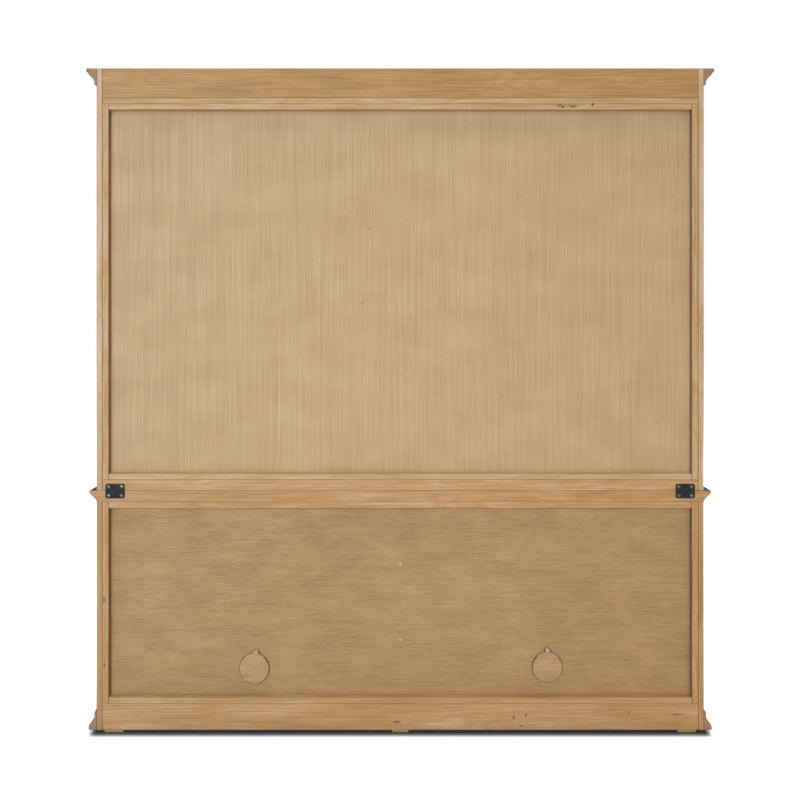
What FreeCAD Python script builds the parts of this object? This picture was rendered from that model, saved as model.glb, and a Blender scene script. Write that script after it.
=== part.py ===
import FreeCAD, Part
import math
import os
import Sketcher

# Storage cabinet in two units: a base with panelled doors and an upper unit with glazed doors.
# The front faces -Y and the back +Y, and +X is on the right of someone who looks at the front.
# The origin lies on the floor, in the middle of the outer box. Lengths are in millimetres.
SIZES = {
    # Whole cabinet
    "body_width": 2065,
    "base_depth": 480,
    "upper_depth": 400,
    "foot_h": 10,
    "base_side_h": 776,
    "upper_side_h": 1436,
    # Boards
    "side_t": 19,
    "board_t": 19,
    "rail_t": 19,
    "divider_t": 19,
    "top_board_t": 38,
    "ceiling_t": 20,
    "fixed_shelf_t": 25,
    "loose_shelf_t": 19,
    "panel_t": 6,
    # Rear framing
    "plinth_rail_h": 90,
    "upper_rail_h": 37,
    "crown_rail_h": 101,
    "cleat_w": 22,
    "cleat_depth": 22,
    "base_low_cleat_h": 20,
    "base_high_cleat_h": 22,
    "upper_cleat_h": 20,
    # Feet
    "foot_w": 65,
    "middle_foot_w": 57,
    "foot_depth": 45,
    "foot_side_inset": 25,
    "foot_face_inset": 4,
    # Shelves
    "lower_shelf_rise": 431,
    "upper_shelf_rise": 873,
    "shelf_setback": 14,
    "shelf_end_play": 1.5,
    "shelf_back_play": 4,
    "pin_r": 2.5,
    "pin_length": 16,
    "pin_hole_depth": 8,
    "pin_hole_play": 0.05,
    "pin_row_rise": 220,
    "pin_pitch": 50,
    "pin_column_inset": 60,
    # Face frames
    "frame_t": 22,
    "stile_w": 44,
    "mullion_w": 54,
    "base_head_h": 40,
    "upper_head_drop": 19,
    # Doors
    "door_t": 21,
    "door_member_w": 60,
    "door_bevel_w": 9,
    "door_bevel_t": 5,
    "groove_start": 8,
    "groove_depth": 9,
    "groove_play": 0.2,
    "infill_play": 1,
    "door_panel_t": 6,
    "panel_raise": 6,
    "panel_bevel_w": 32,
    "panel_shoulder": 6,
    "glass_t": 4,
    "hinge_gap": 2.6,
    "meeting_gap": 3,
    "door_end_gap": 2.5,
    # Hinges
    "hinge_h": 66,
    "knuckle_r": 4,
    "knuckle_play": 0.3,
    "leaf_play": 0.4,
    "leaf_depth": 18,
    "hinge_pin_r": 2,
    "hinge_pin_play": 0.05,
    "hinge_inset": 90,
    # Knobs
    "knob_reach": 26,
    "knob_base_r": 9,
    "knob_base_t": 2.5,
    "knob_neck_r": 5.5,
    "knob_neck_start": 5,
    "knob_neck_end": 12,
    "knob_head_r": 15,
    "knob_rim_start": 16,
    "knob_rim_end": 18.5,
    "base_knob_drop": 150,
    "upper_knob_rise": 430,
    # Magnetic catches
    "catch_w": 64,
    "catch_t": 12,
    "catch_overlap": 10,
    "catch_rise": 16,
    # Moulded edge of the top board
    "edge_reach": 25.5,
    "edge_foot_reach": 1.5,
    "edge_fillet_h": 4,
    # Cornice moulding
    "cornice_reach": 35.5,
    "cornice_h": 58,
    "cornice_fillet_h": 11,
    "cornice_neck_reach": 30,
    "cornice_neck_h": 1,
    "cornice_bead_reach": 7.8,
    "cornice_bead_top": 12,
    "cornice_bead_r": 6,
    # Skirting moulding
    "skirting_reach": 27.5,
    "skirting_h": 66,
    "skirting_toe_h": 9,
    "skirting_bead_reach": 7.8,
    "skirting_bead_start": 47,
    # Cable ports and their covers
    "port_r": 38,
    "cover_r": 51,
    "cover_t": 9,
    "cover_arm": 56,
    "cover_ear_r": 10.5,
    "cover_play": 0.3,
    "cover_bore_play": 0.1,
    "cover_tilt_degrees": 5.6,
    "right_pivot_offset": 18,
    "right_pivot_rise": 168,
    "left_pivot_offset": 8.5,
    "left_pivot_rise": 173,
    # Joining plates across the joint of the two units
    "plate_w": 65,
    "plate_h": 49,
    "plate_t": 2.5,
    "plate_corner_r": 6,
    "plate_inset": 63.5,
    "plate_rise": 37,
    "plate_screw_pitch_x": 44,
    "plate_screw_pitch_z": 30.5,
    # Screws and brads
    "screw_shank_r": 2,
    "screw_tip_h": 3,
    "screw_tip_r": 0.8,
    "plate_head_r": 5.8,
    "plate_head_h": 3,
    "plate_screw_bite": 15,
    "small_head_r": 4.6,
    "small_head_h": 2.4,
    "head_edge_h": 1,
    "divider_screw_bite": 18,
    "low_divider_screw_rise": 207,
    "high_divider_screw_drop": 221,
    "screw_hole_play": 0.05,
    "brad_head_r": 1.8,
    "brad_head_h": 0.8,
    "brad_shank_r": 0.9,
    "brad_bite": 20,
    "brad_end_inset": 343.5,
    "brad_inner_offset": 344,
    # Overrun of cuts
    "overrun": 2,
}
PIN_HOLES_IN_COLUMN = 5
PIN_HOLE_IN_USE = 2
BASE_HINGES = 2
UPPER_HINGES = 3

X_AXIS = FreeCAD.Vector(1, 0, 0)
Y_AXIS = FreeCAD.Vector(0, 1, 0)
Z_AXIS = FreeCAD.Vector(0, 0, 1)
# Turns that bring a rod or a turned piece, made along +Z, into line with another axis
ALONG = {"x": (Y_AXIS, 90), "y": (X_AXIS, -90), "-y": (X_AXIS, 90), "z": (Z_AXIS, 0)}
# The identifiers that a sketch's constraints give its own two axes
LEVEL_AXIS_ID = -1
UPRIGHT_AXIS_ID = -2

doc = FreeCAD.newDocument("storage_cabinet")
sheet = doc.addObject("Spreadsheet::Sheet", "sheet")
for row, (word, number) in enumerate(SIZES.items(), start=1):
    sheet.set(f"A{row}", word)
    sheet.set(f"B{row}", str(number))
    sheet.setAlias(f"B{row}", word)
doc.recompute()

nodes = []


def number_of(value):
    """The plain number of a size, or of a plain number."""
    return value.number if isinstance(value, Size) else value


def text_of(value):
    """The sheet expression of a size, or a plain number as text."""
    return value.text if isinstance(value, Size) else str(value)


class Size:
    """A size of the sheet, or a sum of such sizes: its number, and the expression that gives it."""

    def __init__(self, number, text):
        self.number = number
        self.text = text

    def __add__(self, other):
        return Size(self.number + number_of(other), f"({self.text} + {text_of(other)})")

    def __radd__(self, other):
        return Size(other + self.number, f"({other} + {self.text})")

    def __sub__(self, other):
        return Size(self.number - number_of(other), f"({self.text} - {text_of(other)})")

    def __rsub__(self, other):
        return Size(other - self.number, f"({other} - {self.text})")

    def __mul__(self, other):
        return Size(self.number * number_of(other), f"({self.text} * {text_of(other)})")

    def __rmul__(self, other):
        return Size(other * self.number, f"({other} * {self.text})")

    def __truediv__(self, other):
        return Size(self.number / number_of(other), f"({self.text} / {text_of(other)})")

    def __neg__(self):
        return Size(-self.number, f"(-1 * {self.text})")


class Dimensions:
    """The driving dimensions of the sheet, by name."""

    def __getattr__(self, word):
        return Size(float(sheet.get(word)), f"sheet.{word}")


d = Dimensions()


def bind(thing, setting, value):
    """Bind a setting to the sheet. Zero is left as it is, because each setting bound here starts at zero."""
    if isinstance(value, Size):
        thing.setExpression(setting, value.text)


def place(thing, x, y, z, turn=(Z_AXIS, 0)):
    """Put a piece's own origin at a place, turned about an axis by some degrees."""
    axis, degrees = turn
    thing.Placement = FreeCAD.Placement(FreeCAD.Vector(), FreeCAD.Rotation(axis, degrees))
    bind(thing, "Placement.Base.x", x)
    bind(thing, "Placement.Base.y", y)
    bind(thing, "Placement.Base.z", z)


def board(name, x, y, z):
    """A square-edged board between two places along each axis."""
    piece = doc.addObject("Part::Box", name)
    bind(piece, "Length", x[1] - x[0])
    bind(piece, "Width", y[1] - y[0])
    bind(piece, "Height", z[1] - z[0])
    place(piece, x[0], y[0], z[0])
    return piece


def rod(name, radius, length, x, y, z, along):
    """A round rod from a place along an axis. It also cuts holes."""
    piece = doc.addObject("Part::Cylinder", name)
    bind(piece, "Radius", radius)
    bind(piece, "Height", length)
    place(piece, x, y, z, ALONG[along])
    return piece


def group(name, pieces):
    """Separate solids that share one node."""
    bundle = doc.addObject("Part::Compound", name)
    bundle.Links = pieces
    return bundle


def fused(name, pieces):
    """One solid from touching pieces."""
    whole = doc.addObject("Part::MultiFuse", name)
    whole.Shapes = pieces
    return whole


def cut(name, base, tools):
    """A piece less its holes."""
    rest = doc.addObject("Part::Cut", name)
    rest.Base = base
    rest.Tool = group(name + "_holes", tools)
    return rest


def node(piece):
    """Hand a finished piece over under its own name."""
    piece.Label = piece.Name
    nodes.append(piece)
    return piece


def sketch(body, role, name):
    """A sketch on one of the body's own origin planes."""
    plane = next(feature for feature in body.Origin.OriginFeatures if feature.Role == role)
    drawing = body.newObject("Sketcher::SketchObject", name)
    drawing.AttachmentSupport = [(plane, "")]
    drawing.MapMode = "FlatFace"
    return drawing


def arc_between(start, end, radius, side):
    """The arc from start to end whose centre lies left (side 1) or right (side -1) of the way."""
    chord = end - start
    half_chord = chord.Length / 2
    leftwards = FreeCAD.Vector(-chord.y, chord.x, 0).normalize()
    offset = math.sqrt(max(radius * radius - half_chord * half_chord, 0))
    centre = (start + end) / 2 + leftwards * (offset * side)
    first, last = (start, end) if side > 0 else (end, start)
    first_angle = math.atan2(first.y - centre.y, first.x - centre.x)
    last_angle = math.atan2(last.y - centre.y, last.x - centre.x)
    return Part.ArcOfCircle(Part.Circle(centre, Z_AXIS, radius), first_angle, last_angle)


def draw(drawing, corners, bends=None):
    """Draw a closed outline. bends gives a corner's number the radius and side of the arc after it."""
    bends = bends or {}
    points = [FreeCAD.Vector(number_of(across), number_of(up), 0) for across, up in corners]
    first = drawing.GeometryCount
    ends = []
    for index, start in enumerate(points):
        end = points[(index + 1) % len(points)]
        if index in bends:
            radius, side = bends[index]
            drawing.addGeometry(arc_between(start, end, radius.number, side))
            ends.append((1, 2) if side > 0 else (2, 1))
        else:
            drawing.addGeometry(Part.LineSegment(start, end))
            ends.append((1, 2))
    for index, (across, up) in enumerate(corners):
        after = (index + 1) % len(corners)
        edge, start, end = first + index, ends[index][0], ends[index][1]
        drawing.addConstraint(Sketcher.Constraint("Coincident", edge, end, first + after, ends[after][0]))
        hold(drawing, "DistanceX", edge, start, across, UPRIGHT_AXIS_ID)
        hold(drawing, "DistanceY", edge, start, up, LEVEL_AXIS_ID)
        if index in bends:
            radius = bends[index][0]
            held = drawing.addConstraint(Sketcher.Constraint("Radius", edge, radius.number))
            drawing.setExpression(f"Constraints[{held}]", radius.text)


def hold(drawing, direction, edge, point, value, axis):
    """Hold a corner at its distance from the sketch's origin, or on the axis where that is zero."""
    if isinstance(value, Size):
        rule = Sketcher.Constraint(direction, LEVEL_AXIS_ID, 1, edge, point, value.number)
        held = drawing.addConstraint(rule)
        drawing.setExpression(f"Constraints[{held}]", value.text)
    else:
        drawing.addConstraint(Sketcher.Constraint("PointOnObject", edge, point, axis))


def padded(name, role, corners, bends, length):
    """A body with one outline padded to a length."""
    body = doc.addObject("PartDesign::Body", name)
    profile = sketch(body, role, name + "_outline")
    draw(profile, corners, bends)
    pad = body.newObject("PartDesign::Pad", name + "_pad")
    pad.Profile = profile
    bind(pad, "Length", length)
    doc.recompute()
    return body


def trimmed(body, role, triangles):
    """Cut triangles through a body, square to one of its origin planes, for mitred ends."""
    before = body.Shape.Volume
    profile = sketch(body, role, body.Name + "_mitres")
    for corners in triangles:
        draw(profile, corners)
    pocket = body.newObject("PartDesign::Pocket", body.Name + "_mitre_cut")
    pocket.Profile = profile
    pocket.Type = "ThroughAll"
    pocket.SideType = "Symmetric"
    doc.recompute()
    if body.Shape.Volume >= before:
        raise ValueError(body.Name + ": the mitre cut removed nothing")


def turned(name, corners, bends):
    """A body turned about its own +Z axis from half an outline."""
    body = doc.addObject("PartDesign::Body", name)
    profile = sketch(body, "XZ_Plane", name + "_outline")
    draw(profile, corners, bends)
    revolution = body.newObject("PartDesign::Revolution", name + "_turning")
    revolution.Profile = profile
    revolution.ReferenceAxis = (profile, ["V_Axis"])
    return body


def s_curve_radius(across, up):
    """Radius of the two equal arcs of an S-curve that leaves and arrives upright."""
    return (across * across + up * up) / (across * 4)


def dome_radius(half_width, rise):
    """Radius of an arc that rises over a half width to a level top."""
    return (half_width * half_width + rise * rise) / (rise * 2)


# Shared places
rear_reach = d.plate_t + d.plate_head_h
rear_y = (d.skirting_reach + d.base_depth + rear_reach) / 2 - rear_reach
base_y = rear_y - d.base_depth
upper_y = rear_y - d.upper_depth
base_inside_y = base_y + d.frame_t
upper_inside_y = upper_y + d.frame_t
panel_rear_y = rear_y - d.cleat_depth
panel_front_y = panel_rear_y - d.panel_t
rail_front_y = rear_y - d.rail_t

side_x = d.body_width / 2
inner_x = side_x - d.side_t

plinth_z = d.foot_h + d.plinth_rail_h
base_top_z = d.foot_h + d.base_side_h
base_head_z = base_top_z - d.base_head_h
waist_z = base_top_z + d.top_board_t
upper_floor_z = waist_z + d.upper_rail_h
top_z = waist_z + d.upper_side_h
crown_z = top_z - d.crown_rail_h
ceiling_z = crown_z - d.ceiling_t
upper_head_z = ceiling_z - d.upper_head_drop
lower_shelf_z = upper_floor_z + d.lower_shelf_rise
upper_shelf_z = upper_floor_z + d.upper_shelf_rise

between_sides = (-inner_x, inner_x)
SIDES = {"left": -1, "right": 1}


def beside(x, side, near, far):
    """The span from near to far on one side of x, lowest first."""
    return (x + near, x + far) if side > 0 else (x - far, x - near)


def screw(name, head_r, head_h, length, x, y, z):
    """A pan-head screw driven in from the back: y is the seat of its head."""
    seat = length
    edge = seat + d.head_edge_h
    top = seat + head_h
    corners = [(0, 0), (d.screw_tip_r, 0), (d.screw_shank_r, d.screw_tip_h), (d.screw_shank_r, seat),
               (head_r, seat), (head_r, edge), (0, top)]
    body = turned(name, corners, {5: (dome_radius(head_r, head_h - d.head_edge_h), 1)})
    place(body, x, y - length, z, ALONG["y"])
    return body


def side_panel(name, side, front_y, low_z, high_z):
    """A side panel of a unit. Its rear edge shows beside the back."""
    return board(name, beside(0, side, inner_x, side_x), (front_y, rear_y), (low_z, high_z))


def back_cleats(unit, low_z, high_z, low_h, high_h):
    """Four strips behind a back panel, the upright ones running full height."""
    depth = (panel_rear_y, rear_y)
    cleat_x = inner_x - d.cleat_w
    strips = [
        board(unit + "_cleat_left", (-inner_x, -cleat_x), depth, (low_z, high_z)),
        board(unit + "_cleat_right", (cleat_x, inner_x), depth, (low_z, high_z)),
        board(unit + "_cleat_low", (-cleat_x, cleat_x), depth, (low_z, low_z + low_h)),
        board(unit + "_cleat_high", (-cleat_x, cleat_x), depth, (high_z - high_h, high_z)),
    ]
    return group(unit + "_back_cleats", strips)


def face_frame(unit, front_y, low_z, sill_z, head_z, high_z):
    """Two stiles, two rails and a middle mullion in front of a unit."""
    depth = (front_y, front_y + d.frame_t)
    stile_x = side_x - d.stile_w
    mullion_x = d.mullion_w / 2
    members = [
        board(unit + "_stile_left", (-side_x, -stile_x), depth, (low_z, high_z)),
        board(unit + "_stile_right", (stile_x, side_x), depth, (low_z, high_z)),
        board(unit + "_rail_low", (-stile_x, stile_x), depth, (low_z, sill_z)),
        board(unit + "_rail_high", (-stile_x, stile_x), depth, (head_z, high_z)),
        board(unit + "_mullion", (-mullion_x, mullion_x), depth, (sill_z, head_z)),
    ]
    return group(unit + "_face_frame", members)


def moulding_set(name, corners, bends, reach, front_y, low_z):
    """Three mitred runs of moulding round the front and both sides, square at the back."""
    width = d.body_width + reach * 2
    depth = rear_y - front_y + reach
    near_mitre = [(0, 0), (reach, 0), (0, reach)]
    far_mitre = [(width, 0), (width, reach), (width - reach, 0)]
    side_far_mitre = [(depth, 0), (depth, reach), (depth - reach, 0)]
    front = padded(name + "_front", "YZ_Plane", corners, bends, width)
    trimmed(front, "XY_Plane", [near_mitre, far_mitre])
    place(front, side_x + reach, front_y, low_z, (Z_AXIS, 180))
    left = padded(name + "_left", "YZ_Plane", corners, bends, depth)
    trimmed(left, "XY_Plane", [near_mitre])
    place(left, -side_x, front_y - reach, low_z, (Z_AXIS, 90))
    right = padded(name + "_right", "YZ_Plane", corners, bends, depth)
    trimmed(right, "XY_Plane", [side_far_mitre])
    place(right, side_x, rear_y, low_z, (Z_AXIS, -90))
    return group(name, [front, left, right])


def cornice():
    """Cornice: a fillet, an S-curve and a bead, from the top down."""
    neck_z = d.cornice_h - d.cornice_fillet_h
    curve_top = neck_z - d.cornice_neck_h
    bend = s_curve_radius(d.cornice_neck_reach - d.cornice_bead_reach, curve_top - d.cornice_bead_top)
    middle_reach = (d.cornice_neck_reach + d.cornice_bead_reach) / 2
    middle_z = (curve_top + d.cornice_bead_top) / 2
    bead_foot = d.cornice_bead_reach - d.cornice_bead_r
    corners = [(0, 0), (bead_foot, 0), (d.cornice_bead_reach, d.cornice_bead_r),
               (d.cornice_bead_reach, d.cornice_bead_top), (middle_reach, middle_z),
               (d.cornice_neck_reach, curve_top), (d.cornice_neck_reach, neck_z),
               (d.cornice_reach, neck_z), (d.cornice_reach, d.cornice_h), (0, d.cornice_h)]
    bends = {1: (d.cornice_bead_r, 1), 3: (bend, -1), 4: (bend, 1)}
    return moulding_set("cornice_moulding", corners, bends, d.cornice_reach, upper_y, top_z - d.cornice_h)


def skirting():
    """Skirting: an upright toe, an S-curve and a bead that rounds in to the cabinet."""
    curve_reach = d.skirting_reach - d.skirting_bead_reach
    curve_rise = d.skirting_bead_start - d.skirting_toe_h
    bend = s_curve_radius(curve_reach, curve_rise)
    middle_reach = (d.skirting_reach + d.skirting_bead_reach) / 2
    middle_z = (d.skirting_toe_h + d.skirting_bead_start) / 2
    bead_z = d.skirting_h - d.skirting_bead_reach
    corners = [(0, 0), (d.skirting_reach, 0), (d.skirting_reach, d.skirting_toe_h), (middle_reach, middle_z),
               (d.skirting_bead_reach, d.skirting_bead_start), (d.skirting_bead_reach, bead_z),
               (0, d.skirting_h)]
    bends = {2: (bend, 1), 3: (bend, -1), 5: (d.skirting_bead_reach, 1)}
    return moulding_set("skirting_moulding", corners, bends, d.skirting_reach, base_y, d.foot_h)


def top_board():
    """The thick board between the units: an S-curve under its front and side edges, square behind."""
    fillet_z = d.top_board_t - d.edge_fillet_h
    bend = s_curve_radius(d.edge_reach - d.edge_foot_reach, fillet_z)
    width = d.body_width + d.edge_reach * 2
    depth = d.base_depth + d.edge_reach
    foot = d.edge_reach - d.edge_foot_reach
    middle = foot / 2
    middle_z = fillet_z / 2
    ends = [(foot, 0), (width - foot, 0), (width - middle, middle_z), (width, fillet_z),
            (width, d.top_board_t), (0, d.top_board_t), (0, fillet_z), (middle, middle_z)]
    end_bends = {1: (bend, -1), 2: (bend, 1), 6: (bend, 1), 7: (bend, -1)}
    across = padded("top_board_across", "XZ_Plane", ends, end_bends, depth)
    place(across, -side_x - d.edge_reach, rear_y, base_top_z)
    front = [(foot, 0), (depth, 0), (depth, d.top_board_t), (0, d.top_board_t), (0, fillet_z),
             (middle, middle_z)]
    front_bends = {4: (bend, 1), 5: (bend, -1)}
    along = padded("top_board_along", "YZ_Plane", front, front_bends, width)
    place(along, -side_x - d.edge_reach, base_y - d.edge_reach, base_top_z)
    whole = doc.addObject("Part::Common", "base_top_board_blank")
    whole.Base = across
    whole.Tool = along
    return whole


def door_member(name, length, infill_t, x, z, degrees):
    """One mitred member of a door frame, grooved and bevelled along its inner edge."""
    width = d.door_member_w
    groove_end = d.groove_start + infill_t + d.groove_play
    corners = [(0, 0), (d.door_t, 0), (d.door_t, width), (groove_end, width),
               (groove_end, width - d.groove_depth), (d.groove_start, width - d.groove_depth),
               (d.groove_start, width), (d.door_bevel_t, width), (0, width - d.door_bevel_w)]
    body = padded(name, "YZ_Plane", corners, None, length)
    near_mitre = [(0, 0), (width, width), (0, width)]
    far_mitre = [(length, 0), (length, width), (length - width, width)]
    trimmed(body, "XZ_Plane", [near_mitre, far_mitre])
    return body, (x, z, degrees)


def door_frame(name, x, front_y, z, height, infill_t):
    """Four mitred members round a door's panel or glass."""
    right_x = x + door_w
    high_z = z + height
    members = [
        door_member(name + "_rail_low", door_w, infill_t, x, z, 0),
        door_member(name + "_stile_right", height, infill_t, right_x, z, -90),
        door_member(name + "_rail_high", door_w, infill_t, right_x, high_z, 180),
        door_member(name + "_stile_left", height, infill_t, x, high_z, 90),
    ]
    for body, (corner_x, corner_z, degrees) in members:
        place(body, corner_x, front_y, corner_z, (Y_AXIS, degrees))
    return group(name + "_frame", [body for body, spot in members])


def infill_spans(x, z, height):
    """How far a door's panel or glass runs into the grooves, across and up."""
    inset = d.door_member_w - d.groove_depth + d.infill_play
    return (x + inset, x + door_w - inset), (z + inset, z + height - inset)


def glass_pane(name, x, front_y, z, height):
    """A sheet of glass in the grooves of an upper door."""
    across, up = infill_spans(x, z, height)
    glass_y = front_y + d.groove_start + d.groove_play / 2
    return board(name + "_glass", across, (glass_y, glass_y + d.glass_t), up)


def raised_panel(name, x, front_y, z, height):
    """A panel whose middle stands forward of its edges, with a long bevel all round."""
    across, up = infill_spans(x, z, height)
    sheet_y = front_y + d.groove_start + d.groove_play / 2
    flat = board(name + "_panel_sheet", across, (sheet_y, sheet_y + d.door_panel_t), up)
    shoulder = d.groove_depth - d.infill_play + d.panel_shoulder
    field = shoulder + d.panel_bevel_w
    width = across[1] - across[0]
    rise = up[1] - up[0]
    wedge = doc.addObject("Part::Wedge", name + "_panel_field")
    for setting, value in {
        "Xmin": field, "Xmax": width - field, "Zmin": field, "Zmax": rise - field,
        "X2min": shoulder, "X2max": width - shoulder, "Z2min": shoulder, "Z2max": rise - shoulder,
        "Ymax": d.panel_raise,
    }.items():
        bind(wedge, setting, value)
    place(wedge, across[0], sheet_y - d.panel_raise, up[0])
    return fused(name + "_panel", [flat, wedge])


def hinge_leaf(name, x, side, front_y, z, knuckles):
    """A hinge leaf on one side of the gap at x, with its knuckles, given as thirds of its height."""
    axis_y = front_y - d.knuckle_r - d.knuckle_play
    across = beside(x, side, d.leaf_play / 2, d.hinge_gap / 2)
    third = d.hinge_h / 3
    pieces = [board(name + "_plate", across, (front_y, front_y + d.leaf_depth), (z, z + d.hinge_h))]
    for place_in_thirds in knuckles:
        low = z + third * place_in_thirds + d.leaf_play / 2
        length = third - d.leaf_play
        tag = f"{name}_{place_in_thirds}"
        pieces.append(board(tag + "_neck", across, (axis_y, front_y), (low, low + length)))
        pieces.append(rod(tag + "_knuckle", d.knuckle_r, length, x, axis_y, low, "z"))
    bore_r = d.hinge_pin_r + d.hinge_pin_play
    bore = rod(name + "_bore", bore_r, d.hinge_h + d.overrun * 2, x, axis_y, z - d.overrun, "z")
    return cut(name, fused(name + "_blank", pieces), [bore])


def hinge_pin(name, x, front_y, z):
    """The pin through a hinge's knuckles."""
    axis_y = front_y - d.knuckle_r - d.knuckle_play
    return rod(name, d.hinge_pin_r, d.hinge_h, x, axis_y, z, "z")


def knob(name, x, front_y, z):
    """A turned knob on a door's face."""
    corners = [(0, 0), (d.knob_base_r, 0), (d.knob_base_r, d.knob_base_t), (d.knob_neck_r, d.knob_neck_start),
               (d.knob_neck_r, d.knob_neck_end), (d.knob_head_r, d.knob_rim_start),
               (d.knob_head_r, d.knob_rim_end), (0, d.knob_reach)]
    body = turned(name, corners, {6: (dome_radius(d.knob_head_r, d.knob_reach - d.knob_rim_end), 1)})
    place(body, x, front_y, z, ALONG["-y"])
    return body


half_opening = side_x - d.stile_w - d.mullion_w / 2
door_w = (half_opening - d.hinge_gap * 2 - d.meeting_gap) / 2
door_step = door_w + d.meeting_gap
left_opening_x = -side_x + d.stile_w
right_opening_x = d.mullion_w / 2
# Each door's left edge, and the side that it is hinged on: -1 left, 1 right
DOORS = [
    (left_opening_x + d.hinge_gap, -1),
    (left_opening_x + d.hinge_gap + door_step, 1),
    (right_opening_x + d.hinge_gap, -1),
    (right_opening_x + d.hinge_gap + door_step, 1),
]
MEETING_X = [left_opening_x + half_opening / 2, right_opening_x + half_opening / 2]
frame_leaves = []
hinge_pins = []


def doors(unit, front_y, sill_z, head_z, infill_t, infill, hinge_count, knob_z):
    """The four doors of a unit, numbered from the left, each with its infill, hinges and knob."""
    low_z = sill_z + d.door_end_gap
    height = head_z - sill_z - d.door_end_gap * 2
    hinge_step = (height - d.hinge_inset * 2 - d.hinge_h) / (hinge_count - 1)
    for number, (x, hung) in enumerate(DOORS, start=1):
        name = f"{unit}_door_{number}"
        node(door_frame(name, x, front_y, low_z, height, infill_t))
        node(infill(name, x, front_y, low_z, height))
        gap_x = x - d.hinge_gap / 2 if hung < 0 else x + door_w + d.hinge_gap / 2
        free_x = x + door_w - d.door_member_w / 2 if hung < 0 else x + d.door_member_w / 2
        hardware = [knob(name + "_knob", free_x, front_y, knob_z)]
        for count in range(hinge_count):
            hinge_z = low_z + d.hinge_inset + hinge_step * count
            tag = f"{name}_hinge_{count}"
            hardware.append(hinge_leaf(tag + "_door_leaf", gap_x, -hung, front_y, hinge_z, [1]))
            frame_leaves.append(hinge_leaf(tag + "_frame_leaf", gap_x, hung, front_y, hinge_z, [0, 2]))
            hinge_pins.append(hinge_pin(tag + "_pin", gap_x, front_y, hinge_z))
        node(group(name + "_hardware", hardware))


def catches():
    """Magnetic catches behind the tops of the doors, one for each pair."""
    pieces = []
    for unit, front_y, head_z in (("base", base_y, base_head_z), ("upper", upper_y, upper_head_z)):
        depth = (front_y + d.frame_t, front_y + d.frame_t + d.catch_t)
        low_z = head_z - d.door_end_gap - d.catch_overlap
        for number, x in enumerate(MEETING_X, start=1):
            across = (x - d.catch_w / 2, x + d.catch_w / 2)
            pieces.append(board(f"{unit}_catch_{number}", across, depth, (low_z, head_z + d.catch_rise)))
    return group("magnetic_catches", pieces)


def feet():
    """Six low blocks, at the corners and in the middle, behind and in front."""
    pieces = []
    outer_x = side_x - d.foot_side_inset
    spans = {
        "left": (-outer_x, -outer_x + d.foot_w),
        "middle": (-d.middle_foot_w / 2, d.middle_foot_w / 2),
        "right": (outer_x - d.foot_w, outer_x),
    }
    rear = (rear_y - d.foot_face_inset - d.foot_depth, rear_y - d.foot_face_inset)
    front = (base_y + d.foot_face_inset, base_y + d.foot_face_inset + d.foot_depth)
    for side, across in spans.items():
        pieces.append(board("foot_rear_" + side, across, rear, (0, d.foot_h)))
        pieces.append(board("foot_front_" + side, across, front, (0, d.foot_h)))
    return group("feet", pieces)


# Shelf pins: two upright columns of holes on each inner face of the base
pin_columns_y = [base_inside_y + d.pin_column_inset, panel_front_y - d.pin_column_inset]
pin_first_z = plinth_z + d.pin_row_rise
pin_z = pin_first_z + d.pin_pitch * PIN_HOLE_IN_USE
loose_shelf_z = pin_z + d.pin_r


def pin_holes(name, face_x, side):
    """Holes for shelf pins into a face at x. side 1 opens towards +X, and -1 towards -X."""
    start_x = face_x - d.pin_hole_depth if side > 0 else face_x
    holes = []
    for column, y in enumerate(pin_columns_y):
        for step in range(PIN_HOLES_IN_COLUMN):
            tag = f"{name}_pin_hole_{column}_{step}"
            z = pin_first_z + d.pin_pitch * step
            holes.append(rod(tag, d.pin_r + d.pin_hole_play, d.pin_hole_depth, start_x, y, z, "x"))
    return holes


def shelf_pins():
    """Eight round pins, four under each loose shelf."""
    faces = {"side_left": (-inner_x, 1), "divider_left": (-d.divider_t / 2, -1),
             "divider_right": (d.divider_t / 2, 1), "side_right": (inner_x, -1)}
    pins = []
    for place_name, (face_x, side) in faces.items():
        inside = d.pin_hole_depth
        start_x = face_x - inside if side > 0 else face_x - (d.pin_length - inside)
        for column, y in enumerate(pin_columns_y):
            pins.append(rod(f"pin_{place_name}_{column}", d.pin_r, d.pin_length, start_x, y, pin_z, "x"))
    return group("shelf_pins", pins)


# Fasteners in the back panels. A cover's pivot lies a little nearer the divider than its bay's middle.
bay_middle_x = (d.divider_t / 2 + inner_x) / 2
PIVOTS = {
    "left": (d.left_pivot_offset - bay_middle_x, plinth_z + d.left_pivot_rise),
    "right": (bay_middle_x - d.right_pivot_offset, plinth_z + d.right_pivot_rise),
}
DIVIDER_SCREWS_Z = [plinth_z + d.low_divider_screw_rise, base_top_z - d.high_divider_screw_drop]
outer_brad_x = inner_x - d.brad_end_inset
BRADS_X = [-outer_brad_x, -d.brad_inner_offset, 0, d.brad_inner_offset, outer_brad_x]
cover_rear_y = panel_rear_y + d.cover_play + d.cover_t
pilot_r = d.screw_shank_r + d.screw_hole_play


def hole(name, radius, x, start_y, end_y, z):
    """A hole along Y between two places."""
    return rod(name, radius, end_y - start_y, x, start_y, z, "y")


def base_back_panel():
    """Back panel of the base, with two cable ports and holes for the screws."""
    blank = board("base_back_sheet", between_sides, (panel_front_y, panel_rear_y), (plinth_z, base_top_z))
    near_y = panel_front_y - d.overrun
    far_y = panel_rear_y + d.overrun
    holes = []
    for side, (x, z) in PIVOTS.items():
        holes.append(hole(f"port_{side}", d.port_r, x, near_y, far_y, z - d.cover_arm))
        holes.append(hole(f"pivot_pilot_{side}", pilot_r, x, near_y, far_y, z))
    for number, z in enumerate(DIVIDER_SCREWS_Z):
        holes.append(hole(f"divider_pilot_{number}", pilot_r, 0, near_y, far_y, z))
    return cut("base_back_panel", blank, holes)


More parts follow.
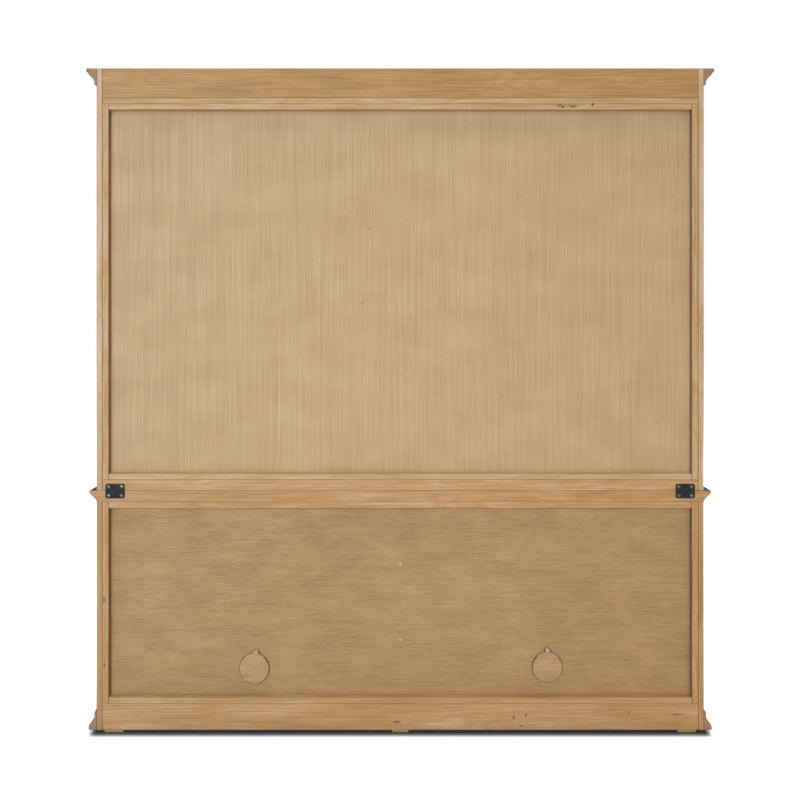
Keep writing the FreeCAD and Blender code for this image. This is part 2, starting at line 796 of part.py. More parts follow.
def divider():
    """Upright board in the middle of the base, drilled for shelf pins and for the back's screws."""
    half = d.divider_t / 2
    blank = board("divider_blank", (-half, half), (base_inside_y, panel_front_y), (plinth_z, base_top_z))
    holes = pin_holes("divider_left", -half, -1) + pin_holes("divider_right", half, 1)
    bite_y = panel_front_y - d.divider_screw_bite
    for number, z in enumerate(DIVIDER_SCREWS_Z):
        holes.append(hole(f"divider_bite_{number}", pilot_r, 0, bite_y, panel_front_y + d.overrun, z))
    return cut("base_divider", blank, holes)


def cable_cover(side):
    """A round cover with an ear above it, hanging from one screw over a cable port."""
    name = "cable_cover_" + side
    pivot_x, pivot_z = PIVOTS[side]
    disc = rod(name + "_disc", d.cover_r, d.cover_t, 0, 0, -d.cover_arm, "y")
    arm = board(name + "_arm", (-d.cover_ear_r, d.cover_ear_r), (0, d.cover_t), (-d.cover_arm, 0))
    ear = rod(name + "_ear", d.cover_ear_r, d.cover_t, 0, 0, 0, "y")
    bore_r = d.screw_shank_r + d.cover_bore_play
    bore = rod(name + "_bore", bore_r, d.cover_t + d.overrun * 2, 0, -d.overrun, 0, "y")
    cover = cut(name, fused(name + "_blank", [disc, arm, ear]), [bore])
    place(cover, pivot_x, panel_rear_y + d.cover_play, pivot_z, (-Y_AXIS, 0))
    return cover


def back_panel_screws():
    """Alike screws in the base's back: two that the cable covers turn on, and two into the divider."""
    seat_y = cover_rear_y + d.cover_play
    length = seat_y - panel_front_y
    screws = []
    for side, (x, z) in PIVOTS.items():
        screws.append(screw(f"cover_screw_{side}", d.small_head_r, d.small_head_h, length, x, seat_y, z))
    length = d.panel_t + d.divider_screw_bite
    for number, z in enumerate(DIVIDER_SCREWS_Z):
        name = f"divider_screw_{number}"
        screws.append(screw(name, d.small_head_r, d.small_head_h, length, 0, panel_rear_y, z))
    return group("back_panel_screws", screws)


SHELVES_Z = {"lower": lower_shelf_z, "upper": upper_shelf_z}


def brad_holes(name, start_y, end_y, z):
    """A row of brad holes at one height."""
    holes = []
    for number, x in enumerate(BRADS_X):
        holes.append(hole(f"{name}_brad_hole_{number}", d.brad_shank_r, x, start_y, end_y, z))
    return holes


def fixed_shelf(level):
    """A full-width shelf of the upper unit. The back's brads enter its rear edge."""
    z = SHELVES_Z[level]
    half = d.fixed_shelf_t / 2
    depth = (upper_inside_y + d.shelf_setback, panel_front_y)
    blank = board(f"{level}_shelf_blank", between_sides, depth, (z - half, z + half))
    start_y = panel_front_y - d.brad_bite
    end_y = panel_front_y + d.overrun
    return cut(f"upper_shelf_{level}", blank, brad_holes(level + "_shelf", start_y, end_y, z))


def upper_back_panel():
    """Back panel of the upper unit, nailed to the shelves."""
    depth = (panel_front_y, panel_rear_y)
    blank = board("upper_back_sheet", between_sides, depth, (upper_floor_z, ceiling_z))
    start_y = panel_front_y - d.overrun
    end_y = panel_rear_y + d.overrun
    holes = []
    for level, z in SHELVES_Z.items():
        holes += brad_holes(level + "_back", start_y, end_y, z)
    return cut("upper_back_panel", blank, holes)


def brads():
    """Two rows of brads with flat heads, through the back into the fixed shelves."""
    pieces = []
    length = d.panel_t + d.brad_bite
    for level, z in SHELVES_Z.items():
        for number, x in enumerate(BRADS_X):
            tag = f"brad_{level}_{number}"
            shank = rod(tag + "_shank", d.brad_shank_r, length, x, panel_rear_y - length, z, "y")
            head = rod(tag + "_head", d.brad_head_r, d.brad_head_h, x, panel_rear_y, z, "y")
            pieces.append(fused(tag, [shank, head]))
    return group("back_panel_brads", pieces)


# Joining plates: four screws each, two into the upper rail and two into the top board
PLATES = {"left": d.plate_inset - side_x, "right": side_x - d.plate_inset}
plate_z = base_top_z + d.plate_rise


def plate_screw_places(side):
    """The four screw places of a plate, the low pair first."""
    across = d.plate_screw_pitch_x / 2
    up = d.plate_screw_pitch_z / 2
    x = PLATES[side]
    return [(x - across, plate_z - up), (x + across, plate_z - up),
            (x - across, plate_z + up), (x + across, plate_z + up)]


def plate_bites(side, places):
    """Screw holes behind a joining plate, in the wood at these places."""
    start_y = rear_y - d.plate_screw_bite
    holes = []
    for number, (x, z) in enumerate(places):
        holes.append(hole(f"plate_bite_{side}_{number}", pilot_r, x, start_y, rear_y + d.overrun, z))
    return holes


def joining_plate(side):
    """A flat plate with round corners and four screw holes."""
    name = "joining_plate_" + side
    corner = d.plate_corner_r
    corners = [(corner, 0), (d.plate_w - corner, 0), (d.plate_w, corner), (d.plate_w, d.plate_h - corner),
               (d.plate_w - corner, d.plate_h), (corner, d.plate_h), (0, d.plate_h - corner), (0, corner)]
    bends = {1: (corner, 1), 3: (corner, 1), 5: (corner, 1), 7: (corner, 1)}
    blank = padded(name + "_blank", "XZ_Plane", corners, bends, d.plate_t)
    place(blank, PLATES[side] - d.plate_w / 2, rear_y + d.plate_t, plate_z - d.plate_h / 2)
    holes = []
    for number, (x, z) in enumerate(plate_screw_places(side)):
        near_y = rear_y - d.overrun
        far_y = rear_y + d.plate_t + d.overrun
        holes.append(hole(f"{name}_hole_{number}", pilot_r, x, near_y, far_y, z))
    return cut(name, blank, holes)


def plate_screws():
    """The eight screws of the joining plates."""
    length = d.plate_t + d.plate_screw_bite
    seat_y = rear_y + d.plate_t
    screws = []
    for side in PLATES:
        for number, (x, z) in enumerate(plate_screw_places(side)):
            name = f"plate_screw_{side}_{number}"
            screws.append(screw(name, d.plate_head_r, d.plate_head_h, length, x, seat_y, z))
    return group("joining_plate_screws", screws)


# Base unit
for word, side in SIDES.items():
    panel = side_panel(f"base_side_{word}_blank", side, base_inside_y, d.foot_h, base_top_z)
    node(cut("base_side_" + word, panel, pin_holes("side_" + word, inner_x * side, -side)))
base_floor_y = (base_inside_y, rail_front_y)
base_floor_z = (plinth_z - d.board_t, plinth_z)
node(board("base_bottom_board", between_sides, base_floor_y, base_floor_z))
node(divider())
node(base_back_panel())
node(back_cleats("base", plinth_z, base_top_z, d.base_low_cleat_h, d.base_high_cleat_h))
node(board("plinth_rear_rail", between_sides, (rail_front_y, rear_y), (d.foot_h, plinth_z)))
node(face_frame("base", base_y, d.foot_h, plinth_z, base_head_z, base_top_z))
node(skirting())
node(feet())
low_places = [place_xz for side in PLATES for place_xz in plate_screw_places(side)[:2]]
node(cut("base_top_board", top_board(), plate_bites("low", low_places)))
shelf_y = (base_inside_y + d.shelf_setback, panel_front_y - d.shelf_back_play)
shelf_z = (loose_shelf_z, loose_shelf_z + d.loose_shelf_t)
shelf_outer_x = inner_x - d.shelf_end_play
shelf_inner_x = d.divider_t / 2 + d.shelf_end_play
node(board("base_shelf_left", (-shelf_outer_x, -shelf_inner_x), shelf_y, shelf_z))
node(board("base_shelf_right", (shelf_inner_x, shelf_outer_x), shelf_y, shelf_z))
node(shelf_pins())
node(cable_cover("left"))
tilted_cover = node(cable_cover("right"))
tilted_cover.Placement.Rotation = FreeCAD.Rotation(-Y_AXIS, d.cover_tilt_degrees.number)
bind(tilted_cover, "Placement.Rotation.Angle", d.cover_tilt_degrees)
node(back_panel_screws())

# Upper unit
for word, side in SIDES.items():
    node(side_panel("upper_side_" + word, side, upper_inside_y, waist_z, top_z))
upper_floor_y = (upper_inside_y, rail_front_y)
upper_floor_span_z = (upper_floor_z - d.board_t, upper_floor_z)
node(board("upper_bottom_board", between_sides, upper_floor_y, upper_floor_span_z))
node(board("upper_top_board", between_sides, (upper_inside_y, rear_y), (ceiling_z, crown_z)))
node(fixed_shelf("lower"))
node(fixed_shelf("upper"))
node(upper_back_panel())
node(back_cleats("upper", upper_floor_z, ceiling_z, d.upper_cleat_h, d.upper_cleat_h))
upper_rail = board("upper_rear_rail_blank", between_sides, (rail_front_y, rear_y), (waist_z, upper_floor_z))
high_places = [place_xz for side in PLATES for place_xz in plate_screw_places(side)[2:]]
node(cut("upper_rear_rail", upper_rail, plate_bites("high", high_places)))
node(board("cornice_rear_rail", between_sides, (rail_front_y, rear_y), (crown_z, top_z)))
node(face_frame("upper", upper_y, waist_z, upper_floor_z, upper_head_z, top_z))
node(cornice())
node(brads())
node(joining_plate("left"))
node(joining_plate("right"))
node(plate_screws())

# Doors
base_knob_z = base_head_z - d.base_knob_drop
upper_knob_z = upper_floor_z + d.upper_knob_rise
doors("base", base_y, plinth_z, base_head_z, d.door_panel_t, raised_panel, BASE_HINGES, base_knob_z)
doors("upper", upper_y, upper_floor_z, upper_head_z, d.glass_t, glass_pane, UPPER_HINGES, upper_knob_z)
node(group("hinge_frame_leaves", frame_leaves))
node(group("hinge_pins", hinge_pins))
node(catches())

doc.recompute()
for thing in doc.Objects:
    if "Invalid" in thing.State or "Error" in thing.State:
        raise ValueError(f"{thing.Name} failed: {thing.State}")
os.makedirs("parts", exist_ok=True)
for piece in nodes:
    if piece.Shape.isNull() or not piece.Shape.isValid():
        raise ValueError(f"{piece.Label} has no valid shape")
    piece.Shape.exportStep(f"parts/{piece.Label}.step")
box = Part.makeCompound([piece.Shape for piece in nodes]).BoundBox
print(len(nodes), "nodes")
print("box", box)
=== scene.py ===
# %% [markdown]
# # A storage cabinet in two units
# The real one is an oak hutch: a base with four panelled doors carries an upper unit with four
# glazed doors. We stand behind it, where the maker left the oak raw, and see rails, strips and two
# thin back panels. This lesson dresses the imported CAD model, board by board. Each board keeps the
# place that the CAD model gives it, so the script asks the frame for sizes instead of guessing.

# %% Load the frame
import math
import random

import bmesh
import bpy
from mathutils import Matrix, Vector


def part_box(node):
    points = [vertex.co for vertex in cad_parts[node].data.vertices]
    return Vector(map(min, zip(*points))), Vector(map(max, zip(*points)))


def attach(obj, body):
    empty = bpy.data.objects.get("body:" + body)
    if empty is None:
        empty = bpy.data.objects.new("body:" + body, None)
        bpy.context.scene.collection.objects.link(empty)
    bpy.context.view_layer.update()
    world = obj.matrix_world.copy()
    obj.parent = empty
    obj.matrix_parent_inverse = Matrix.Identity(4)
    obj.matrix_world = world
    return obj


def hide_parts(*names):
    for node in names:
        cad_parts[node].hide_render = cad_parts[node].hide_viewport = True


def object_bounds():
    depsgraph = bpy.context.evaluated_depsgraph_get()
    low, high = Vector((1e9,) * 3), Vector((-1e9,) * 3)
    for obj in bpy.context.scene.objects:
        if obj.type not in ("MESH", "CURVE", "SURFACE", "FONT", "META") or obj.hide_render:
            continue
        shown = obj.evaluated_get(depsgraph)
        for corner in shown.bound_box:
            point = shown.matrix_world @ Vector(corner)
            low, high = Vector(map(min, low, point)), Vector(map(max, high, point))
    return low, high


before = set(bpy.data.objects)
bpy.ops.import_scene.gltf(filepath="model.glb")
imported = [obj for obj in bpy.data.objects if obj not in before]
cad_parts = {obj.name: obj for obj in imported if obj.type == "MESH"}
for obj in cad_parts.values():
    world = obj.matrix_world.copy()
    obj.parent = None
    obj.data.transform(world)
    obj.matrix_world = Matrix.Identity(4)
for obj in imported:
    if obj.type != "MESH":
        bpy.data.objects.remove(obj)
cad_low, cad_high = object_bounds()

MM = 0.001
CABINET = "cabinet"
UNITS = ("base", "upper")
dice = random.Random(11)
print("CAD box", [round(v, 4) for v in cad_low], [round(v, 4) for v in cad_high])

# %% [markdown]
# ## Places in the photograph
# A knot or a speck that the photograph shows has a place in pixels. On the plane of the back one
# pixel is 3.4 mm, so two lines turn a pixel into metres. The camera stands behind the cabinet, and
# therefore the left of the picture is the +X side.

# %% From a pixel to the back of the cabinet
PIXEL = 3.4 * MM
IMAGE_PIXELS = 800
MIDDLE_PIXEL = 400.2
FLOOR_PIXEL = 733
HORIZON_PIXEL = 300.65


def on_the_back(across, down):
    """The x and z, in metres, of a pixel on the plane of the back."""
    return (MIDDLE_PIXEL - across) * PIXEL, (FLOOR_PIXEL - down) * PIXEL


print("the picture's middle lies at", on_the_back(400, 400))

# %% [markdown]
# ## Tools for materials
# Hex colours are sRGB, as a paint card or an image editor gives them, and shaders work in linear
# light, so one function turns the one into the other. A second small function adds a node, sets it
# and links it: a value that is a socket is linked, and any other value is written in. The short
# functions after it stand for the nodes that come back most.

# %% Colours and nodes
def linear(code):
    """An sRGB hex colour as linear red, green, blue and alpha."""
    parts = [int(code[start:start + 2], 16) / 255 for start in (1, 3, 5)]
    return [c / 12.92 if c <= 0.04045 else ((c + 0.055) / 1.055) ** 2.4 for c in parts] + [1.0]


def add(tree, kind, settings=None, links=None, ramp=None):
    """Add a node, with its settings, what goes into it and, for a colour ramp, its stops."""
    node = tree.nodes.new(kind)
    for name, value in (settings or {}).items():
        setattr(node, name, value)
    for name, value in (links or {}).items():
        if isinstance(value, bpy.types.NodeSocket):
            tree.links.new(value, node.inputs[name])
        else:
            node.inputs[name].default_value = value
    for index, (position, colour) in enumerate(ramp or []):
        stops = node.color_ramp.elements
        stop = stops[index] if index < 2 else stops.new(position)
        stop.position = position
        stop.color = linear(colour)
    return node


def empty_material(name):
    """A material with nothing in its node tree."""
    material = bpy.data.materials.new(name)
    material.use_nodes = True
    material.node_tree.nodes.clear()
    return material, material.node_tree


def maths(tree, operation, *terms):
    """What a Math node makes of its terms."""
    return add(tree, "ShaderNodeMath", {"operation": operation}, dict(enumerate(terms))).outputs[0]


def vectors(tree, operation, *terms):
    """What a Vector Math node makes of its terms: a vector first, and a value by its name."""
    return add(tree, "ShaderNodeVectorMath", {"operation": operation}, dict(enumerate(terms))).outputs


def remap(tree, value, start, end, low=0.0, high=1.0):
    """A value that runs from start to end, made to run from low to high and held there."""
    return add(tree, "ShaderNodeMapRange", None,
               {"Value": value, "From Min": start, "From Max": end, "To Min": low, "To Max": high}).outputs[0]


def speckle(tree, place, size, detail):
    """A noise whose marks are about this many millimetres across."""
    return add(tree, "ShaderNodeTexNoise", None,
               {"Vector": place, "Scale": 1 / (size * MM), "Detail": detail}).outputs["Fac"]


# A Mix node's colour sockets share their names with its other sockets, so they go by number
FACTOR, UNDER, OVER, MIXED = 0, 6, 7, 2


def blend(tree, factor, under, over):
    """One colour laid over another by a factor."""
    return add(tree, "ShaderNodeMix", {"data_type": "RGBA"},
               {FACTOR: factor, UNDER: under, OVER: over}).outputs[MIXED]


def into_scene(name, data):
    """A new object with this data, linked to the scene."""
    thing = bpy.data.objects.new(name, data)
    bpy.context.scene.collection.objects.link(thing)
    return thing


print("black is", linear("#000000"), "and white is", linear("#ffffff"))

# %% [markdown]
# ## Oak, raw and stained
# Oak is a ring-porous hardwood. Sawn along the trunk it shows growth rings as long lines, fine
# streaks between them, and pores as short dark ticks. One solid pattern can give all of it if it is
# stretched along the grain, and then the end of a board shows end grain by itself. Each board
# carries its own grain coordinates: along, across and through the board, in metres. They are stored
# on the mesh, so the grain turns with the board and starts at another place on each one.
#
# Fine lines in real oak are about 1 mm wide, rings 3 to 5 mm and pores 0.3 mm, and a pixel of the
# photograph is 3.4 mm. So lines and rings are drawn two to three times coarser than they are, and
# pores about six times, or they would blur to nothing.

# %% Marks stretched along the grain
RING_BEND = (420, 80)
PITH_DEPTH = 28 * MM
LATE_WOOD = 0.4


def marks(tree, grain, length, width, detail=2.0):
    """A noise whose marks are about this many millimetres long and wide."""
    along = 1 / (length * MM)
    across = 1 / (width * MM)
    scaled = vectors(tree, "MULTIPLY", grain, (along, across, across))[0]
    return add(tree, "ShaderNodeTexNoise", None,
               {"Vector": scaled, "Scale": 1.0, "Detail": detail, "Roughness": 0.55}).outputs["Fac"]


def weighed(tree, patterns):
    """A half, plus each pattern's distance from its own middle times its weight."""
    total = 0.5 - sum(weight * middle for _, weight, middle in patterns)
    for pattern, weight, _ in patterns:
        total = maths(tree, "MULTIPLY_ADD", pattern, weight, total)
    return total


def rings(tree, grain, look):
    """Growth rings about a pith under the board, which a slow wander bends into arches."""
    bend = marks(tree, grain, *RING_BEND, 1.0)
    apart = add(tree, "ShaderNodeSeparateXYZ", None, {0: grain}).outputs
    below = maths(tree, "ADD", apart["Z"], PITH_DEPTH)
    spoke = add(tree, "ShaderNodeCombineXYZ", None, {"Y": apart["Y"], "Z": below}).outputs[0]
    radius = vectors(tree, "LENGTH", spoke)["Value"]
    cone = maths(tree, "MULTIPLY_ADD", apart["X"], look["taper"], radius)
    bent = maths(tree, "MULTIPLY_ADD", bend, look["wander"] * MM, cone)
    wave = maths(tree, "SINE", maths(tree, "MULTIPLY", bent, 2 * math.pi / (look["ring_pitch"] * MM)))
    return add(tree, "ShaderNodeMapRange", {"interpolation_type": "SMOOTHSTEP"},
               {"Value": wave, "From Min": -1.0, "From Max": LATE_WOOD}).outputs[0]


print("patterns for wood: marks, rings")

# %% [markdown]
# ### Layers of a board's colour
# The colour is laid down as it comes about. First the shade of the wood itself, then reddish
# heartwood and pores, then the cut ends, which soak up light and look darker. Arrises come next: on
# stained oak they are rubbed pale, and on raw oak they are painted darker, a painted shade that
# draws the line where two boards meet. An arris that faces up is left unmarked, as painted light
# from above. Then painted shade goes into the inner corners of raw oak: an occlusion pattern finds
# them, tilted up and back, so that a ledge stays pale and the corner under it goes dark, as if lit
# from above. Knots come last.

# %% One recipe for every board
NOISE_MIDDLE, RING_MIDDLE = 0.5, 0.6


def shade_of(tree, grain, tone, look):
    """How pale the wood is at a point, from 0 to 1, and the fine lines by themselves."""
    fine = marks(tree, grain, *look["fine"], detail=3.0)
    ring = rings(tree, grain, look)
    broad = [(marks(tree, grain, *look[key]), look[key + "_weight"], NOISE_MIDDLE)
             for key in ("streak", "blotch")]
    shade = weighed(tree, [(fine, look["fine_weight"], NOISE_MIDDLE),
                           (ring, look["ring_weight"], RING_MIDDLE), *broad,
                           (tone, look["tone_weight"], 0.0)])
    return shade, fine


FLUSH_MARKS, FLUSH_SPAN = (110, 9), (0.55, 0.75)
PORE_SPAN = (0.56, 0.7)
EDGE_MARK_SIZE = 38
# Painted shade in inner corners: how far the occlusion looks, the span it darkens over, and its tilt up and
# back, as if lit from above
CORNER_REACH, CORNER_SPAN = 22 * MM, (0.1, 0.6)
UP_AND_BACK = {"Y": 0.7, "Z": 0.7}
KNOT_RAGGED, KNOT_SPAN = 0.9, (0.8, 1.9)
ROUGH_SPREAD = 0.08
LINE_RELIEF, PORE_RELIEF = 0.6, -1.0
PORE_DEPTH = 0.4 * MM


def wood(name, colours, look, knots=()):
    """Wood from its dark, middle, pale, heart and end colours, a colour for worn arrises and painted shade,
    and how it was finished.
    """
    material, tree = empty_material(name)
    dark, middle, pale, heart, end_colour, arris_wear_and_shade_colour = colours
    told = {key: add(tree, "ShaderNodeAttribute", {"attribute_name": key}).outputs
            for key in ("grain", "tone", "end", "arris")}
    grain = told["grain"]["Vector"]
    place = add(tree, "ShaderNodeTexCoord").outputs["Object"]
    shade, fine = shade_of(tree, grain, told["tone"]["Fac"], look)
    colour = add(tree, "ShaderNodeValToRGB", None, {"Fac": shade},
                 [(0.0, dark), (1.0, pale), (0.5, middle)]).outputs["Color"]

    flush = remap(tree, marks(tree, grain, *FLUSH_MARKS), *FLUSH_SPAN, 0.0, look["heart_weight"])
    pore = remap(tree, marks(tree, grain, *look["pore"], detail=1.0), *PORE_SPAN, 0.0, look["pore_weight"])
    cut_end = maths(tree, "MULTIPLY", told["end"]["Fac"], look["end_weight"])
    # On stained oak the arrises are rubbed pale, and on raw oak they are painted darker: a painted shade for
    # the lines where boards meet
    edge_wear_and_shade = remap(tree, speckle(tree, place, EDGE_MARK_SIZE, 3.0), *look["edge_wear_and_shade"], 0.0, look["arris_weight"])
    edge_wear_and_shade = maths(tree, "MULTIPLY", edge_wear_and_shade, told["arris"]["Fac"])
    # Painted shade: an occlusion tilted up and back darkens the corners under ledges in the arris colour and
    # leaves the ledges pale
    tilted = add(tree, "ShaderNodeCombineXYZ", None, UP_AND_BACK).outputs[0]
    corner = add(tree, "ShaderNodeAmbientOcclusion", {"samples": 6},
                 {"Distance": CORNER_REACH, "Normal": tilted}).outputs["AO"]
    painted_corner_shade = remap(tree, corner, *CORNER_SPAN, look["painted_corner_shade"], 0.0)
    for factor, layer in ((flush, heart), (pore, dark), (cut_end, end_colour), (edge_wear_and_shade, arris_wear_and_shade_colour),
                          (painted_corner_shade, arris_wear_and_shade_colour)):
        colour = blend(tree, factor, colour, linear(layer))

    for x, z, half_length, half_height, strength in knots:
        centred = vectors(tree, "SUBTRACT", place, (x, 0, z))[0]
        oval = vectors(tree, "MULTIPLY", centred, (1 / (half_length * MM), 0, 1 / (half_height * MM)))[0]
        ragged = maths(tree, "MULTIPLY_ADD", fine, KNOT_RAGGED, vectors(tree, "LENGTH", oval)["Value"])
        colour = blend(tree, remap(tree, ragged, *KNOT_SPAN, strength, 0.0), colour, linear(look["knot"]))

    rough = remap(tree, shade, 0.0, 1.0, look["rough"] + ROUGH_SPREAD, look["rough"] - ROUGH_SPREAD)
    height = weighed(tree, [(fine, LINE_RELIEF, NOISE_MIDDLE), (pore, PORE_RELIEF, 0.0)])
    relief = add(tree, "ShaderNodeBump", None,
                 {"Height": height, "Strength": look["relief"], "Distance": PORE_DEPTH})
    shader = add(tree, "ShaderNodeBsdfPrincipled", None,
                 {"Base Color": colour, "Roughness": rough, "IOR": 1.5,
                  "Specular IOR Level": look["specular"], "Normal": relief.outputs["Normal"]})
    add(tree, "ShaderNodeOutputMaterial", None, {"Surface": shader.outputs[0]})
    return material


print("one recipe: wood")

# %% [markdown]
# ### The finishes of this cabinet
# The back is raw oak: planed, unoiled, and a little greyer where it is veneer. The upper back panel
# is a thin sheet whose straight grain runs up, and the lower one has level grain, full of short
# flecks, and is browner. The front and sides can't be seen. The top board's upper face just shows
# past the sides and is near black, so the outside is taken to be oak stained dark brown under a
# matt lacquer. Stain sinks into the pores, so the grain still shows, and edges rub through.

# %% Mix the woods
PLANED = {"fine": (200, 2.8), "fine_weight": 0.8, "streak": (340, 11), "streak_weight": 0.22,
          "blotch": (260, 70), "blotch_weight": 0.45, "ring_pitch": 10, "wander": 70, "taper": 0.03,
          "ring_weight": 0.07, "tone_weight": 0.12, "heart_weight": 0.25, "pore": (13, 1.5),
          "pore_weight": 0.25, "end_weight": 0.85, "edge_wear_and_shade": (0.1, 0.3), "arris_weight": 0.75,
          "painted_corner_shade": 0.75, "rough": 0.7, "specular": 0.3, "relief": 0.35,
          "knot": "#683a22"}
STAINED = {**PLANED, "fine_weight": 1.3, "ring_weight": 0.25, "heart_weight": 0.2, "pore_weight": 0.6,
           "edge_wear_and_shade": (0.42, 0.66), "arris_weight": 0.7, "painted_corner_shade": 0.0, "rough": 0.65, "specular": 0.06,
           "relief": 0.5, "knot": "#1c1512"}
VENEER = {**PLANED, "fine": (420, 1.9), "fine_weight": 1.0, "streak": (900, 12), "streak_weight": 0.12,
          "blotch": (110, 170), "blotch_weight": 0.4, "wander": 20, "taper": 0.0, "ring_weight": 0.05,
          "tone_weight": 0.0, "heart_weight": 0.1, "pore": (7, 2.2), "pore_weight": 0.25,
          "arris_weight": 0.3}
LEVEL = {**VENEER, "fine": (46, 2.8), "fine_weight": 0.75, "streak": (240, 12), "streak_weight": 0.25,
         "blotch": (150, 80), "blotch_weight": 0.47, "pore": (12, 2.0), "pore_weight": 0.3}

# Knots, streaks and specks that show on the raw rails: pixel, half length, half height, strength
RAIL_MARKS = [((559.8, 105.5), 5, 4, 0.8), ((562.9, 106.8), 6, 4, 0.85), ((573.3, 106.5), 13, 3.5, 0.9),
              ((592.7, 104.5), 4.5, 5, 1.0), ((566, 105.5), 44, 6, 0.3), ((473, 94.3), 26, 3, 0.35),
              ((396.6, 722), 12, 4, 0.8), ((513.7, 717.7), 4, 5, 0.85), ((525.9, 715.1), 4, 5, 0.85),
              ((521.3, 725.8), 6, 3, 0.7), ((629.2, 712.4), 4, 3, 0.7), ((677, 714.3), 16, 2.5, 0.75),
              ((104, 600), 5, 14, 0.7), ((104.5, 665), 3, 9, 0.7)]
PANEL_MARKS = [((369, 228.6), 3, 3, 0.6), ((362, 303), 3, 3, 0.5)]


def placed(spots):
    """Marks with their pixels turned into places on the back."""
    return [(*on_the_back(*pixel), length, height, strength) for pixel, length, height, strength in spots]


raw_oak = wood("oak_planed_raw", ("#906a3f", "#bc9361", "#dbc4a6", "#a8784c", "#9a7a62", "#5f432b"), PLANED,
               placed(RAIL_MARKS))
# Darker oak for the side faces of the upright cleats: painted shade in the recess beside the back panel
shaded_side_oak = wood("oak_side_painted_shade", ("#5f452b", "#8a6a47", "#a98a64", "#7c5636", "#7a5c42", "#4a3322"), PLANED)
dark_oak = wood("oak_stained_dark", ("#1f1916", "#38302b", "#51463e", "#3c2c22", "#241d19", "#7a5f48"),
                STAINED)
inner_oak = wood("oak_stained_inside", ("#211b18", "#3a322d", "#4f443d", "#3c2c22", "#2a221e", "#5f4a3a"),
                 {**STAINED, "rough": 0.7})
pale_veneer = wood("oak_veneer_upright", ("#9c7c58", "#bfa077", "#d5bb95", "#b08a62", "#9f7861", "#8a6a48"),
                   VENEER, placed(PANEL_MARKS))
back_veneer = wood("oak_veneer_level", ("#86693f", "#ad8c60", "#c6a67a", "#9c764c", "#957050", "#7d5f3e"),
                   LEVEL)
# The cover's arris colour is near black and weighs heavily: a painted shadow ring round the cover's rim
cover_veneer = wood("oak_veneer_cover", ("#917050", "#b6946c", "#cba983", "#a67c55", "#6b4c32", "#432d1c"),
                    {**LEVEL, "fine": (60, 2.4), "blotch": (70, 40), "arris_weight": 0.9})
print("woods:", [m.name for m in bpy.data.materials])

# %% [markdown]
# ### Metal, glass and plastic
# The joining plates are steel with a matt black powder coat, which leaves a fine orange peel. Their
# screws and the brads are black zinc, mottled paler by wear, and the other screws and small steel
# pieces are zinc with a yellowish passivation. Knobs and hinges are aged bronze, dark and mottled.
# The glass is 4 mm float glass, clear with a green cast. Lamps must reach what stands behind it, so
# for their rays the pane turns into a faintly tinted clear film.

# %% Mix the metals
PATCH_SIZE = 9
WEAR_SPAN = (0.4, 0.7)
GLOSS_SPAN = (0.3, 0.7)
METAL_RELIEF = 0.1 * MM


def metal(name, colour, worn, grain_size, metallic, roughness, relief, specular=0.5):
    """A metal or plastic with a mottled surface, whose wear shows as a second colour in patches."""
    material, tree = empty_material(name)
    place = add(tree, "ShaderNodeTexCoord").outputs["Object"]
    patch = speckle(tree, place, PATCH_SIZE, 4.0)
    mixed = blend(tree, remap(tree, patch, *WEAR_SPAN), linear(colour), linear(worn))
    rough = remap(tree, patch, *GLOSS_SPAN, roughness + 0.1, roughness - 0.06)
    bumps = add(tree, "ShaderNodeBump", None, {"Height": speckle(tree, place, grain_size, 2.0),
                                               "Strength": relief, "Distance": METAL_RELIEF})
    shader = add(tree, "ShaderNodeBsdfPrincipled", None,
                 {"Base Color": mixed, "Metallic": metallic, "Roughness": rough,
                  "Specular IOR Level": specular, "Normal": bumps.outputs["Normal"]})
    add(tree, "ShaderNodeOutputMaterial", None, {"Surface": shader.outputs[0]})
    return material


black_iron = metal("steel_powder_coated_black", "#232425", "#303132", 0.7, 0.0, 0.6, 0.5, 0.15)
black_zinc = metal("steel_black_zinc", "#505356", "#84878a", 0.4, 1.0, 0.32, 0.2)
zinc_steel = metal("steel_zinc_plated", "#9c9880", "#ccc8ae", 0.4, 1.0, 0.35, 0.2)
aged_bronze = metal("bronze_aged", "#2e241c", "#5a4433", 0.6, 1.0, 0.45, 0.3)
catch_plastic = metal("catch_moulded_brown", "#2b221c", "#342a23", 0.5, 0.0, 0.55, 0.4)
print("metals and plastic:",
      [m.name for m in (black_iron, black_zinc, zinc_steel, aged_bronze, catch_plastic)])


# %% Mix the glass
SMEAR_SIZE, SMEAR_SPAN, SMEAR_ROUGHNESS = 140, (0.4, 0.75), 0.01


def float_glass(name, tint):
    """Clear glass that lets lamps through to what is behind it, with faint wipe marks in its gloss."""
    material, tree = empty_material(name)
    place = add(tree, "ShaderNodeTexCoord").outputs["Object"]
    smear = speckle(tree, place, SMEAR_SIZE, 3.0)
    rough = remap(tree, smear, *SMEAR_SPAN, 0.0, SMEAR_ROUGHNESS)
    pane = add(tree, "ShaderNodeBsdfPrincipled", None,
               {"Base Color": linear(tint), "Roughness": rough, "IOR": 1.52, "Transmission Weight": 1.0,
                "Specular IOR Level": 0.15})
    film = add(tree, "ShaderNodeBsdfTransparent", None, {"Color": linear(tint)})
    ray = add(tree, "ShaderNodeLightPath").outputs["Is Shadow Ray"]
    mixed = add(tree, "ShaderNodeMixShader", None, {0: ray, 1: pane.outputs[0], 2: film.outputs[0]})
    add(tree, "ShaderNodeOutputMaterial", None, {"Surface": mixed.outputs[0]})
    return material


clear_glass = float_glass("glass_float_clear", "#f9fcfa")
print("glass:", clear_glass.name)

